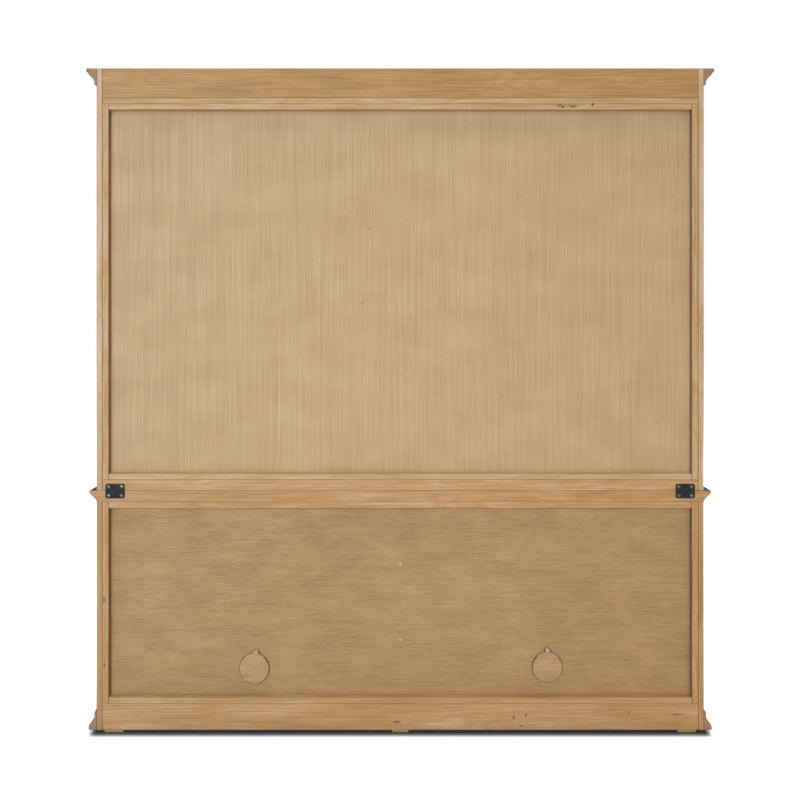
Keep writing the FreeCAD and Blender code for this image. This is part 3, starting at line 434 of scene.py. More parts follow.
# %% [markdown]
# ## Boards
# A joiner takes the sharp corner, the arris, off every board. On a picture that is what draws the
# fine line where two boards meet. So each board here is a closed solid whose edges are bevelled by
# about a millimetre. The class below gathers boards into one piece and stores four things on the
# mesh for the wood materials: the grain coordinates, a tone that differs from board to board, which
# faces are arrises, and which are end grain.

# %% A bench for boards
ARRIS = 1.1 * MM
THIN_ARRIS = 0.3 * MM
SHARP = math.radians(28)
AXES = "XYZ"
ARRIS_STEPS = 2
# An arris whose normal rises more than this looks up, and is left unmarked, as painted light from above
UPTURNED = 0.3
# Where a board's grain may start in the pattern: metres along, widths across, metres through
START_ALONG, START_ACROSS, START_THROUGH = (0, 5), (-0.4, 0.4), (-0.02, 0.02)
SAME_POINT = 0.001 * MM
SAME_PLANE = math.radians(0.5)
RAW, DARK, INNER, EDGE = 0, 1, 2, 3
WOODS = [raw_oak, dark_oak, inner_oak, shaded_side_oak]


def facing(normal):
    """The signed axis that a face looks along most, such as +Y."""
    index = max(range(3), key=lambda i: abs(normal[i]))
    return ("+" if normal[index] > 0 else "-") + AXES[index]


class Joinery:
    """Boards gathered into one piece, each with its own grain."""

    def __init__(self, tone=None):
        self.points, self.faces = [], []
        self.grain, self.tones = [], []
        self.arris, self.end, self.finish = [], [], []
        self.tone = tone

    def take(self, bm, along, finish, arris=ARRIS, wears=None):
        """Add a closed solid. finish gives each facing its material, and wears picks its arrises."""
        bmesh.ops.recalc_face_normals(bm, faces=bm.faces)
        edges = [e for e in bm.edges if e.calc_face_angle(0) > SHARP and (wears is None or wears(e))]
        worn = set(bmesh.ops.bevel(bm, geom=edges, offset=arris, segments=ARRIS_STEPS, profile=0.5,
                                   affect="EDGES", clamp_overlap=True)["faces"])
        low = Vector([min(v.co[i] for v in bm.verts) for i in range(3)])
        high = Vector([max(v.co[i] for v in bm.verts) for i in range(3)])
        first = AXES.index(along)
        rest = sorted((i for i in range(3) if i != first), key=lambda i: low[i] - high[i])
        order = [first, *rest]
        width = high[rest[0]] - low[rest[0]]
        shift = Vector((dice.uniform(*START_ALONG), dice.uniform(*START_ACROSS) * width,
                        dice.uniform(*START_THROUGH)))
        chance = dice.uniform(-1, 1)
        tone = chance if self.tone is None else self.tone
        middle = (low + high) / 2
        start = len(self.points)
        bm.verts.index_update()
        for vert in bm.verts:
            self.points.append(vert.co[:])
            place = vert.co - middle
            self.grain.extend(place[axis] + shift[i] for i, axis in enumerate(order))
            self.tones.append(tone)
        for face in bm.faces:
            self.faces.append([start + v.index for v in face.verts])
            # Upward arrises get no mark: painted light from above
            self.arris.append(1.0 if face in worn and face.normal.z < UPTURNED else 0.0)
            self.end.append(1.0 if facing(face.normal)[1] == along else 0.0)
            self.finish.append(finish.get(facing(face.normal), finish[""]))
        bm.free()

    def make(self, name, body, materials, nodes, smooth=False):
        """Turn the boards into one mesh that rides on a body and stands for CAD nodes."""
        mesh = bpy.data.meshes.new(name)
        mesh.from_pydata(self.points, [], self.faces)
        for material in materials:
            mesh.materials.append(material)
        mesh.polygons.foreach_set("material_index", self.finish)
        mesh.attributes.new("grain", "FLOAT_VECTOR", "POINT").data.foreach_set("vector", self.grain)
        mesh.attributes.new("tone", "FLOAT", "POINT").data.foreach_set("value", self.tones)
        mesh.attributes.new("arris", "FLOAT", "FACE").data.foreach_set("value", self.arris)
        mesh.attributes.new("end", "FLOAT", "FACE").data.foreach_set("value", self.end)
        mesh.polygons.foreach_set("use_smooth", [smooth] * len(self.faces))
        if smooth:
            mesh.set_sharp_from_angle(angle=SHARP)
        return hand_over(mesh, name, body, nodes)


def hand_over(mesh, name, body, nodes):
    """Put a finished mesh in the scene, on its body and in place of its CAD nodes."""
    piece = into_scene(name, mesh)
    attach(piece, body)
    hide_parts(*nodes)
    print(name, len(mesh.polygons), "faces on", body)
    return piece


def block(bm, low, high):
    """A cuboid between two corners, in a bmesh that may hold other solids."""
    for vert in bmesh.ops.create_cube(bm, size=1)["verts"]:
        vert.co = [low[i] + (vert.co[i] + 0.5) * (high[i] - low[i]) for i in range(3)]


def board(work, low, high, along, finish, arris=ARRIS):
    """A square-edged board between two corners."""
    bm = bmesh.new()
    block(bm, low, high)
    work.take(bm, along, finish, arris)


def drilled(work, node, along, finish, wears, arris=ARRIS):
    """A board with holes, copied from its CAD node with its doubles merged and its flats whole."""
    bm = bmesh.new()
    bm.from_mesh(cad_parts[node].data)
    bmesh.ops.remove_doubles(bm, verts=bm.verts, dist=SAME_POINT)
    bmesh.ops.dissolve_limit(bm, angle_limit=SAME_PLANE, verts=bm.verts, edges=bm.edges)
    work.take(bm, along, finish, arris, wears)


print("a bench: Joinery, block, board, drilled")

# %% [markdown]
# ### Boards with square edges
# These are simple boards, one to a CAD node. Their rear faces are raw, the outside of the sides is
# dark, and so is what lies inside. A dictionary says which facing gets which finish, and its empty
# key stands for all the others. The photograph shows the cornice's rail browner than the rest and
# the edges of the upper sides paler. So boards whose raw edge shows get a tone of their own, and
# the others get one by chance.

# %% Single boards
ALL_RAW = {"": RAW}
SHELF = {"": INNER, "+Y": RAW}
SIDE_LEFT = {"": INNER, "+Y": RAW, "-X": DARK}
SIDE_RIGHT = {"": INNER, "+Y": RAW, "+X": DARK}
CEILING = {"": INNER, "+Y": RAW, "+Z": RAW}
TONES = {"cornice_rear_rail": -1.2, "plinth_rear_rail": -0.1, "upper_rear_rail": 0.3,
         "upper_side_left": 1.6, "upper_side_right": 1.6, "upper_top_board": 0.6}
SINGLE_BOARDS = [
    (("base_bottom_board", "base_shelf_left", "base_shelf_right", "upper_bottom_board",
      "upper_shelf_lower", "upper_shelf_upper"), "X", SHELF, "dark_oak"),
    (("upper_top_board",), "X", CEILING, "dark_oak"),
    (("upper_side_left",), "Z", SIDE_LEFT, "dark_oak"),
    (("upper_side_right",), "Z", SIDE_RIGHT, "dark_oak"),
    (("plinth_rear_rail", "upper_rear_rail", "cornice_rear_rail"), "X", ALL_RAW, "raw_oak")]
for nodes, along, finish, slot in SINGLE_BOARDS:
    for node in nodes:
        work = Joinery(TONES.get(node))
        board(work, *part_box(node), along, finish)
        work.make("dressed_" + node, CABINET, WOODS, [node])

# %% [markdown]
# ### Boards with holes
# The base's sides and divider have columns of holes for shelf pins, and its back panel has two
# cable ports. Drilling is quicker to copy than to repeat, so these start from the CAD mesh. Only
# their long edges get an arris: the rim of a hole stays crisp.

# %% Drilled boards
LONG_EDGE = 60 * MM
DRILLED_TONE = -0.5
DRILLED_BOARDS = {"base_side_left": SIDE_LEFT, "base_side_right": SIDE_RIGHT, "base_divider": SHELF}


def long_edge(edge):
    """True for an edge that runs along a board, and not round a hole."""
    return edge.calc_length() > LONG_EDGE


for node, finish in DRILLED_BOARDS.items():
    work = Joinery(DRILLED_TONE)
    drilled(work, node, "Z", finish, long_edge)
    work.make("dressed_" + node, CABINET, WOODS, [node])

# %% Back panels
PANEL_BACK = {"": 0, "-Y": 1}
work = Joinery()
drilled(work, "base_back_panel", "X", PANEL_BACK, long_edge, THIN_ARRIS)
work.make("dressed_base_back_panel", CABINET, [back_veneer, inner_oak], ["base_back_panel"])
work = Joinery()
board(work, *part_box("upper_back_panel"), "Z", PANEL_BACK, THIN_ARRIS)
work.make("dressed_upper_back_panel", CABINET, [pale_veneer, inner_oak], ["upper_back_panel"])

# %% [markdown]
# ### Strips round the back panels
# Four strips, called cleats, hold each back panel in from behind. The upright ones run the full
# height, and the level ones fit between them. Their outer faces lie where the CAD node's box does.
# The side faces of the upright ones are painted darker: painted shade in the recess beside the panel.

# %% Cleats
CLEAT = 22 * MM
CLEAT_HEIGHTS = {"base": (20 * MM, 22 * MM), "upper": (20 * MM, 20 * MM)}
CLEAT_TONES = {"base": 0.0, "upper": 0.7}
# Painted shade: the side faces of the upright cleats take the darker oak
SHADED_SIDES = {"": RAW, "+X": EDGE, "-X": EDGE}
for unit, (low_height, high_height) in CLEAT_HEIGHTS.items():
    low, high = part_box(unit + "_back_cleats")
    work = Joinery(CLEAT_TONES[unit])
    for left, right in ((low.x, low.x + CLEAT), (high.x - CLEAT, high.x)):
        board(work, (left, low.y, low.z), (right, high.y, high.z), "Z", SHADED_SIDES)
    for bottom, top in ((low.z, low.z + low_height), (high.z - high_height, high.z)):
        board(work, (low.x + CLEAT, low.y, bottom), (high.x - CLEAT, high.y, top), "X", ALL_RAW)
    work.make(f"dressed_{unit}_back_cleats", CABINET, WOODS, [unit + "_back_cleats"])

# %% [markdown]
# ### Face frames
# A face frame is two stiles, two rails and a mullion. It fills what the doors leave, so its inner
# edges are the doors' own boxes plus the gaps round them.

# %% Face frames
HINGE_GAP = 2.6 * MM
END_GAP = 2.5 * MM
FRAME = {"": DARK, "+Y": INNER}
for unit in UNITS:
    low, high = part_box(unit + "_face_frame")
    first_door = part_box(unit + "_door_1_frame")
    second_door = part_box(unit + "_door_2_frame")
    stile_x = -first_door[0].x + HINGE_GAP
    mullion_x = -second_door[1].x - HINGE_GAP
    sill, head = first_door[0].z - END_GAP, first_door[1].z + END_GAP
    work = Joinery()
    for left, right, bottom, top, along in (
            (low.x, -stile_x, low.z, high.z, "Z"), (stile_x, high.x, low.z, high.z, "Z"),
            (-stile_x, stile_x, low.z, sill, "X"), (-stile_x, stile_x, head, high.z, "X"),
            (-mullion_x, mullion_x, sill, head, "Z")):
        board(work, (left, low.y, bottom), (right, high.y, top), along, FRAME)
    work.make(f"dressed_{unit}_face_frame", CABINET, WOODS, [unit + "_face_frame"])

# %% Feet
FOOT = 65 * MM
MIDDLE_FOOT = 57 * MM
FOOT_DEPTH = 45 * MM
low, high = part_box("feet")
work = Joinery()
for left, right in ((low.x, low.x + FOOT), (-MIDDLE_FOOT / 2, MIDDLE_FOOT / 2), (high.x - FOOT, high.x)):
    for near, far in ((low.y, low.y + FOOT_DEPTH), (high.y - FOOT_DEPTH, high.y)):
        board(work, (left, near, low.z), (right, far, high.z), "X", ALL_RAW)
work.make("dressed_feet", CABINET, WOODS, ["feet"])

# %% [markdown]
# ## Mouldings and mitred frames
# A moulding is one profile run along an edge, and where two runs meet they are cut at 45 degrees. A
# door frame follows the same rule, inwards. So one node tree serves both: it extrudes the profile
# to a length, and then moves each end along the run by the point's own reach, which is what a mitre
# is. Extrude and Set Position keep the profile exact, where sweeping a curve would narrow it.

# %% Tools for node trees
def socket_name(tree, name):
    """The identifier of a tree's input, by which a modifier knows it."""
    return next(item.identifier for item in tree.interface.items_tree
                if item.item_type == "SOCKET" and item.in_out == "INPUT" and item.name == name)


def new_tree(name, inputs):
    """A geometry tree with a geometry input and output, and named inputs for its sizes."""
    tree = bpy.data.node_groups.new(name, "GeometryNodeTree")
    tree.interface.new_socket("Geometry", in_out="INPUT", socket_type="NodeSocketGeometry")
    for label, kind in inputs.items():
        tree.interface.new_socket(label, in_out="INPUT", socket_type="NodeSocket" + kind)
    tree.interface.new_socket("Geometry", in_out="OUTPUT", socket_type="NodeSocketGeometry")
    return tree, add(tree, "NodeGroupInput").outputs


def end_tree(tree, geometry, material):
    """Make real what the tree has set out, give it its material and pass it on."""
    real = add(tree, "GeometryNodeRealizeInstances", None, {"Geometry": geometry})
    painted = add(tree, "GeometryNodeSetMaterial", None, {"Geometry": real.outputs[0], "Material": material})
    add(tree, "NodeGroupOutput", None, {"Geometry": painted.outputs[0]})


def grown(seed_mesh, tree, inputs):
    """The plain mesh that a tree makes of a mesh."""
    holder = into_scene("holder", seed_mesh)
    modifier = holder.modifiers.new("tree", "NODES")
    modifier.node_group = tree
    for name, value in inputs.items():
        modifier[socket_name(tree, name)] = value
    view = bpy.context.evaluated_depsgraph_get()
    mesh = bpy.data.meshes.new_from_object(holder.evaluated_get(view))
    holder.modifiers.remove(modifier)
    bpy.data.objects.remove(holder)
    return mesh


print("tools: new_tree, end_tree, grown")

# %% A tree for mitred runs
WELD = 0.005 * MM
run_tree, given = new_tree("mitred_run", {"Length": "Float", "Near Mitre": "Float", "Far Mitre": "Float",
                                          "Material": "Material"})
travel = add(run_tree, "ShaderNodeCombineXYZ", None, {"X": given["Length"]}).outputs[0]
pulled = add(run_tree, "GeometryNodeExtrudeMesh", {"mode": "FACES"},
             {"Mesh": given["Geometry"], "Offset": travel, "Offset Scale": 1.0, "Individual": False})
near_end = add(run_tree, "GeometryNodeFlipFaces", None, {"Mesh": given["Geometry"]})
both = add(run_tree, "GeometryNodeJoinGeometry")
run_tree.links.new(pulled.outputs["Mesh"], both.inputs[0])
run_tree.links.new(near_end.outputs[0], both.inputs[0])
closed = add(run_tree, "GeometryNodeMergeByDistance", None, {"Geometry": both.outputs[0], "Distance": WELD})
position = add(run_tree, "GeometryNodeInputPosition").outputs[0]
spot = add(run_tree, "ShaderNodeSeparateXYZ", None, {0: position}).outputs
is_far = maths(run_tree, "GREATER_THAN", spot["X"], maths(run_tree, "MULTIPLY", given["Length"], 0.5))
is_near = maths(run_tree, "SUBTRACT", 1.0, is_far)
far_share = maths(run_tree, "MULTIPLY", is_far, given["Far Mitre"])
near_share = maths(run_tree, "MULTIPLY", is_near, given["Near Mitre"])
share = maths(run_tree, "SUBTRACT", far_share, near_share)
slide = add(run_tree, "ShaderNodeCombineXYZ", None, {"X": maths(run_tree, "MULTIPLY", share, spot["Y"])})
moved = add(run_tree, "GeometryNodeSetPosition", None,
            {"Geometry": closed.outputs[0], "Offset": slide.outputs[0]})
end_tree(run_tree, moved.outputs[0], given["Material"])
print("tree:", run_tree.name, len(run_tree.nodes), "nodes")

# %% One run
def run(profile, length, near, far, matrix):
    """One run of a (reach, height) profile as a bmesh, put in place by a matrix."""
    outline = bpy.data.meshes.new("outline")
    outline.from_pydata([(0, reach, height) for reach, height in profile], [], [list(range(len(profile)))])
    mesh = grown(outline, run_tree, {"Length": length, "Near Mitre": near, "Far Mitre": far,
                                     "Material": dark_oak})
    bm = bmesh.new()
    bm.from_mesh(mesh)
    bm.transform(matrix)
    bpy.data.meshes.remove(mesh)
    bpy.data.meshes.remove(outline)
    return bm


print("a tool: run")

# %% [markdown]
# ### Cornice and skirting
# The cornice steps in under a fillet, swings in along an S-curve and ends in a round bead. The
# skirting is the same idea the other way up. An S-curve that leaves and arrives upright is half a
# cosine wave. The photograph shows both profiles end on, because the runs are cut square at the
# back, and there the wood is raw end grain.

# %% Profiles
CURVE_STEPS = 12


def s_curve(start, end):
    """Points after start, up to end, of an S-curve that leaves and arrives upright."""
    points = []
    for step in range(1, CURVE_STEPS + 1):
        share = step / CURVE_STEPS
        points.append((start[0] + (end[0] - start[0]) * (1 - math.cos(math.pi * share)) / 2,
                       start[1] + (end[1] - start[1]) * share))
    return points


def quarter(centre, radius, first_degrees, last_degrees):
    """Points of an arc about a centre."""
    steps = CURVE_STEPS // 2
    sweep = last_degrees - first_degrees
    turns = [math.radians(first_degrees + sweep * i / steps) for i in range(steps + 1)]
    return [(centre[0] + radius * math.cos(t), centre[1] + radius * math.sin(t)) for t in turns]


side_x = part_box("upper_side_right")[1].x
rear_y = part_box("upper_side_right")[1].y
upper_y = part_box("upper_face_frame")[0].y
base_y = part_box("base_face_frame")[0].y

cornice_low, cornice_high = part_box("cornice_moulding")
cornice_reach = cornice_high.x - side_x
cornice_height = cornice_high.z - cornice_low.z
CORNICE_BEAD = 7.8 * MM
BEAD_ROUND = 6 * MM
BEAD_TOP = 12 * MM
NECK_REACH = 30 * MM
FILLET = 11 * MM
FILLET_STEP = 1 * MM
cornice_profile = [
    (0, 0), *quarter((CORNICE_BEAD - BEAD_ROUND, BEAD_ROUND), BEAD_ROUND, -90, 0), (CORNICE_BEAD, BEAD_TOP),
    *s_curve((CORNICE_BEAD, BEAD_TOP), (NECK_REACH, cornice_height - FILLET - FILLET_STEP)),
    (NECK_REACH, cornice_height - FILLET), (cornice_reach, cornice_height - FILLET),
    (cornice_reach, cornice_height), (0, cornice_height)]

skirting_low, skirting_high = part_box("skirting_moulding")
skirting_reach = skirting_high.x - side_x
skirting_height = skirting_high.z - skirting_low.z
TOE = 9 * MM
SKIRTING_BEAD = 7.8 * MM
BEAD_START = 47 * MM
skirting_profile = [
    (0, 0), (skirting_reach, 0), (skirting_reach, TOE),
    *s_curve((skirting_reach, TOE), (SKIRTING_BEAD, BEAD_START)),
    *quarter((0, skirting_height - SKIRTING_BEAD), SKIRTING_BEAD, 0, 90)]
print(len(cornice_profile), "points in the cornice,", len(skirting_profile), "in the skirting")


# %% Run the mouldings round the front and sides
def turned_to(degrees, x, y, z):
    """A matrix that turns a run about Z and puts its start somewhere."""
    return Matrix.Translation((x, y, z)) @ Matrix.Rotation(math.radians(degrees), 4, "Z")


MOULDING = {"": DARK, "+Y": RAW}
FINE_ARRIS = 0.5 * MM
END_ARRIS = 1.2 * MM


def moulding(name, node, profile, front_y, low_z):
    """Three mitred runs: the front, and both sides cut square at the back."""
    width = side_x * 2
    depth = rear_y - front_y
    work = Joinery()
    front = run(profile, width, 1, 1, turned_to(180, side_x, front_y, low_z))
    left = run(profile, depth, 1, 0, turned_to(90, -side_x, front_y, low_z))
    right = run(profile, depth, 0, 1, turned_to(-90, side_x, rear_y, low_z))
    work.take(front, "X", {"": DARK}, FINE_ARRIS)
    work.take(left, "Y", MOULDING, END_ARRIS)
    work.take(right, "Y", MOULDING, END_ARRIS)
    return work.make(name, CABINET, WOODS, [node], smooth=True)


moulding("dressed_cornice", "cornice_moulding", cornice_profile, upper_y, cornice_low.z)
moulding("dressed_skirting", "skirting_moulding", skirting_profile, base_y, skirting_low.z)

# %% [markdown]
# ### The thick top board
# The board between the units has the same S-curve under its front and side edges, and is square
# behind. Rings of four corners, stacked from the bottom up, make it in one go.

# %% Top board
def loft(rings_of_points):
    """A closed solid through rings that have the same number of points."""
    bm = bmesh.new()
    rows = [[bm.verts.new(p) for p in ring] for ring in rings_of_points]
    count = len(rows[0])
    for lower, upper in zip(rows, rows[1:]):
        for i in range(count):
            j = (i + 1) % count
            bm.faces.new((lower[i], lower[j], upper[j], upper[i]))
    bm.faces.new(list(reversed(rows[0])))
    bm.faces.new(rows[-1])
    return bm


top_low, top_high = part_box("base_top_board")
edge_reach = top_high.x - side_x
EDGE_FOOT = 1.5 * MM
EDGE_FILLET = 4 * MM
TOP_BOARD_TONE = -0.2
TOP_BOARD_ARRIS = 0.8 * MM
top_thickness = top_high.z - top_low.z
edge = [(EDGE_FOOT, 0), *s_curve((EDGE_FOOT, 0), (edge_reach, top_thickness - EDGE_FILLET)),
        (edge_reach, top_thickness)]
layers = []
for reach, height in edge:
    inset = edge_reach - reach
    z = top_low.z + height
    layers.append([(top_low.x + inset, top_low.y + inset, z), (top_high.x - inset, top_low.y + inset, z),
                   (top_high.x - inset, top_high.y, z), (top_low.x + inset, top_high.y, z)])
work = Joinery(TOP_BOARD_TONE)
work.take(loft(layers), "X", MOULDING, TOP_BOARD_ARRIS)
work.make("dressed_base_top_board", CABINET, WOODS, ["base_top_board"], smooth=True)

# %% [markdown]
# ## Doors
# Each door is a mitred frame of four members with a bevel inside, round a raised panel below or a
# pane of glass above. All eight come from the same lines: the number picks the CAD node, whose box
# gives the door's place, and the member's profile is the same everywhere but for its groove.

# %% Door frames
MEMBER = 60 * MM
LEFT_HUNG = (1, 3)


def doors(*units):
    """Each door's unit, name and hinge side, which is 1 for a door that is hung on its left."""
    for unit in units:
        for number in range(1, 5):
            yield unit, f"{unit}_door_{number}", 1 if number in LEFT_HUNG else -1


BEVEL_WIDTH = 9 * MM
BEVEL_DEPTH = 5 * MM
GROOVE = 9 * MM
GROOVE_START = 8 * MM
GROOVE_PLAY = 0.2 * MM
DOOR_FINISH = {"": DARK, "+Y": INNER}


def door_profile(thickness, infill):
    """A member's section as (width inwards, depth from the face): bevel, groove and square back."""
    groove_end = GROOVE_START + infill + GROOVE_PLAY
    return [(0, 0), (0, thickness), (MEMBER, thickness), (MEMBER, groove_end), (MEMBER - GROOVE, groove_end),
            (MEMBER - GROOVE, GROOVE_START), (MEMBER, GROOVE_START), (MEMBER, BEVEL_DEPTH),
            (MEMBER - BEVEL_WIDTH, 0)]


def upright(degrees, x, y, z):
    """A matrix that lays a member's section in depth, turns it in the door's plane and places it."""
    lie = Matrix(((1, 0, 0, 0), (0, 0, 1, 0), (0, 1, 0, 0), (0, 0, 0, 1)))
    turn = Matrix.Rotation(math.radians(-degrees), 4, "Y")
    return Matrix.Translation((x, y, z)) @ turn @ lie


def door_frame(name, body, node, infill):
    """Four mitred members round a door."""
    low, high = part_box(node)
    profile = door_profile(high.y - low.y, infill)
    width, height = high.x - low.x, high.z - low.z
    work = Joinery()
    for length, degrees, x, z, along in (
            (width, 0, low.x, low.z, "X"), (height, 90, high.x, low.z, "Z"),
            (width, 180, high.x, high.z, "X"), (height, 270, low.x, high.z, "Z")):
        member = run(profile, length, -1, -1, upright(degrees, x, low.y, z))
        work.take(member, along, DOOR_FINISH, FINE_ARRIS)
    return work.make(name, body, WOODS, [node])


PANEL_SHEET = 6 * MM
glass_low, glass_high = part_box("upper_door_1_glass")
INFILLS = {"base": PANEL_SHEET, "upper": glass_high.y - glass_low.y}
for unit, door, _ in doors(*UNITS):
    door_frame("dressed_" + door + "_frame", door, door + "_frame", INFILLS[unit])

# %% [markdown]
# ### Raised panels and glass
# A raised panel is a thin sheet whose middle stands forward, with a long bevel all round and a small
# step, the quirk, where the bevel meets the field. Rings from back to front make it.

# %% Raised panels
SHOULDER = 14 * MM
PANEL_BEVEL = 32 * MM
QUIRK = 1.2 * MM
for _, door, _ in doors("base"):
    low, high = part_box(door + "_panel")
    sheet_y = high.y - PANEL_SHEET
    field = SHOULDER + PANEL_BEVEL
    rows = [(0, high.y), (0, sheet_y), (SHOULDER, sheet_y), (field, low.y + QUIRK), (field, low.y)]
    layers = [[(low.x + inset, y, low.z + inset), (high.x - inset, y, low.z + inset),
               (high.x - inset, y, high.z - inset), (low.x + inset, y, high.z - inset)] for inset, y in rows]
    work = Joinery()
    work.take(loft(layers), "Z", DOOR_FINISH, THIN_ARRIS)
    work.make("dressed_" + door + "_panel", door, WOODS, [door + "_panel"])

# %% Panes
for _, door, _ in doors("upper"):
    work = Joinery()
    board(work, *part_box(door + "_glass"), "Z", {"": 0}, THIN_ARRIS)
    work.make("dressed_" + door + "_glass", door, [clear_glass], [door + "_glass"])

# %% [markdown]
# ## Hardware
# Screws, brads, pins, knobs and hinges repeat, so each is made once as a small mesh and a node tree
# sets copies on points. A screw stops at any angle, so the tree also turns each copy by chance about
# the axis it is driven along. The seed is fixed, and therefore every run gives the same screws.

# %% A tree that sets copies on points
set_tree, given = new_tree("copies_on_points", {"Copy": "Object", "Most Turn": "Float", "Seed": "Int",
                                                "Material": "Material"})
copy = add(set_tree, "GeometryNodeObjectInfo", {"transform_space": "ORIGINAL"}, {"Object": given["Copy"]})
chance = add(set_tree, "FunctionNodeRandomValue", {"data_type": "FLOAT"}, {"Seed": given["Seed"]})
set_tree.links.new(given["Most Turn"], chance.inputs[3])
angle = add(set_tree, "ShaderNodeCombineXYZ", None, {"Y": chance.outputs[1]})
turn = add(set_tree, "FunctionNodeEulerToRotation", None, {0: angle.outputs[0]})
copies = add(set_tree, "GeometryNodeInstanceOnPoints", None,
             {"Points": given["Geometry"], "Instance": copy.outputs["Geometry"], "Rotation": turn.outputs[0]})
end_tree(set_tree, copies.outputs[0], given["Material"])


TURN_SEED = 3


def set_out(template, points, name, body, material, nodes, turn=0.0):
    """One piece made of copies of a small mesh, its origin on each point."""
    shape = into_scene("shape", template)
    cloud = bpy.data.meshes.new("points")
    cloud.from_pydata(points, [], [])
    mesh = grown(cloud, set_tree, {"Copy": shape, "Most Turn": turn, "Seed": TURN_SEED, "Material": material})
    bpy.data.objects.remove(shape)
    bpy.data.meshes.remove(cloud)
    mesh.name = name
    return hand_over(mesh, name, body, nodes)


print("tree:", set_tree.name, len(set_tree.nodes), "nodes")

# %% [markdown]
# ### Turned things and the cross in a screw's head
# A lathe turns a profile round an axis. Here the axis is Y, because everything on the back is driven
# along it. The cross recess of a screw is cut with a boolean, as the forming punch does it.

# %% A lathe
def lathe(profile, steps, forward=1):
    """A closed solid turned about Y from (radius, y) points that start and end on the axis."""
    bm = bmesh.new()
    first = bm.verts.new((0, profile[0][1] * forward, 0))
    last = bm.verts.new((0, profile[-1][1] * forward, 0))
    rows = []
    for radius, y in profile[1:-1]:
        turns = [2 * math.pi * i / steps for i in range(steps)]
        rows.append([bm.verts.new((radius * math.cos(t), y * forward, radius * math.sin(t))) for t in turns])
    for i in range(steps):
        j = (i + 1) % steps
        bm.faces.new((first, rows[0][i], rows[0][j]))
        bm.faces.new((last, rows[-1][j], rows[-1][i]))
        for near, far in zip(rows, rows[1:]):
            bm.faces.new((near[i], far[i], far[j], near[j]))
    bmesh.ops.recalc_face_normals(bm, faces=bm.faces)
    return bm


def as_mesh(bm, name, degrees=28):
    """A bmesh as a mesh that is smooth but for its sharp edges."""
    mesh = bpy.data.meshes.new(name)
    bm.to_mesh(mesh)
    bm.free()
    mesh.polygons.foreach_set("use_smooth", [True] * len(mesh.polygons))
    mesh.set_sharp_from_angle(angle=math.radians(degrees))
    return mesh


print("tools: lathe, as_mesh")

# %% Screws
SHANK = 2 * MM
TIP = 3 * MM
HEAD_RIM = 1 * MM
TIP_SHARE = 0.4
SCREW_SIDES = 28
DOME_STEP = 15
CROSS_REACH, CROSS_WIDTH, CROSS_DEPTH, CROSS_TAPER = 0.6, 0.24, 0.62, 0.45


def cross_cutter(radius, height):
    """Two tapered bars that leave the cross recess in a head of this size."""
    bm = bmesh.new()
    reach, width, depth = radius * CROSS_REACH, radius * CROSS_WIDTH, height * CROSS_DEPTH
    for half_x, half_z in ((reach, width), (width, reach)):
        for vert in bmesh.ops.create_cube(bm, size=2)["verts"]:
            taper = CROSS_TAPER if vert.co.y < 0 else 1.0
            vert.co = (vert.co.x * half_x * taper, height + vert.co.y * depth, vert.co.z * half_z * taper)
    mesh = bpy.data.meshes.new("cutter")
    bm.to_mesh(mesh)
    bm.free()
    return mesh


def screw_mesh(name, radius, height, length):
    """A pan-head screw with its seat at the origin, its head towards +Y and a cross recess."""
    turns = [math.radians(degrees) for degrees in range(0, 90, DOME_STEP)]
    dome = [(radius * math.cos(t), HEAD_RIM + (height - HEAD_RIM) * math.sin(t)) for t in turns]
    profile = [(0, -length), (SHANK * TIP_SHARE, -length), (SHANK, TIP - length), (SHANK, 0), (radius, 0),
               *dome, (0, height)]
    blank = into_scene("blank", as_mesh(lathe(profile, SCREW_SIDES), name + "_blank"))
    cutter = into_scene("cutter", cross_cutter(radius, height))
    punch = blank.modifiers.new("punch", "BOOLEAN")
    punch.object = cutter
    punch.operation = "DIFFERENCE"
    punch.solver = "EXACT"
    punch.use_self = True
    view = bpy.context.evaluated_depsgraph_get()
    mesh = bpy.data.meshes.new_from_object(blank.evaluated_get(view))
    for thing in (blank, cutter):
        bpy.data.objects.remove(thing)
    return mesh


plate_low, plate_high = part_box("joining_plate_left")
plate_x = (plate_low.x + plate_high.x) / 2
plate_z = (plate_low.z + plate_high.z) / 2
PLATE_PITCH_X = 44 * MM
PLATE_PITCH_Z = 30.5 * MM
plate_places = [(side * plate_x + across * PLATE_PITCH_X / 2, plate_high.y, plate_z + up * PLATE_PITCH_Z / 2)
                for side in (1, -1) for across in (-1, 1) for up in (-1, 1)]
PLATE_SCREW = (5.8 * MM, 3 * MM, 17 * MM)
set_out(screw_mesh("plate_screw", *PLATE_SCREW), plate_places, "dressed_plate_screws", CABINET,
        black_zinc, ["joining_plate_screws"], math.pi)

# %% Screws in the back panels
SMALL_HEAD = 4.6 * MM
SMALL_HEAD_HEIGHT = 2.4 * MM
LOW_DIVIDER_SCREW = 307 * MM
COVER_SCREW_LENGTH = 15 * MM
DIVIDER_SCREW_LENGTH = 24 * MM
panel_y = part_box("upper_back_panel")[1].y
screws_low, screws_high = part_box("back_panel_screws")
covers = {side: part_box("cable_cover_" + side) for side in ("left", "right")}
EAR = 10.5 * MM
left_pivot = (screws_low.x + SMALL_HEAD, covers["left"][1].z - EAR)
right_pivot = (screws_high.x - SMALL_HEAD, screws_low.z + SMALL_HEAD)
head_seat = screws_high.y - SMALL_HEAD_HEIGHT
high_divider_screw = screws_high.z - SMALL_HEAD
set_out(screw_mesh("cover_screw", SMALL_HEAD, SMALL_HEAD_HEIGHT, COVER_SCREW_LENGTH),
        [(left_pivot[0], head_seat, left_pivot[1]), (right_pivot[0], head_seat, right_pivot[1])],
        "dressed_cover_screws", CABINET, zinc_steel, ["back_panel_screws"], math.pi)
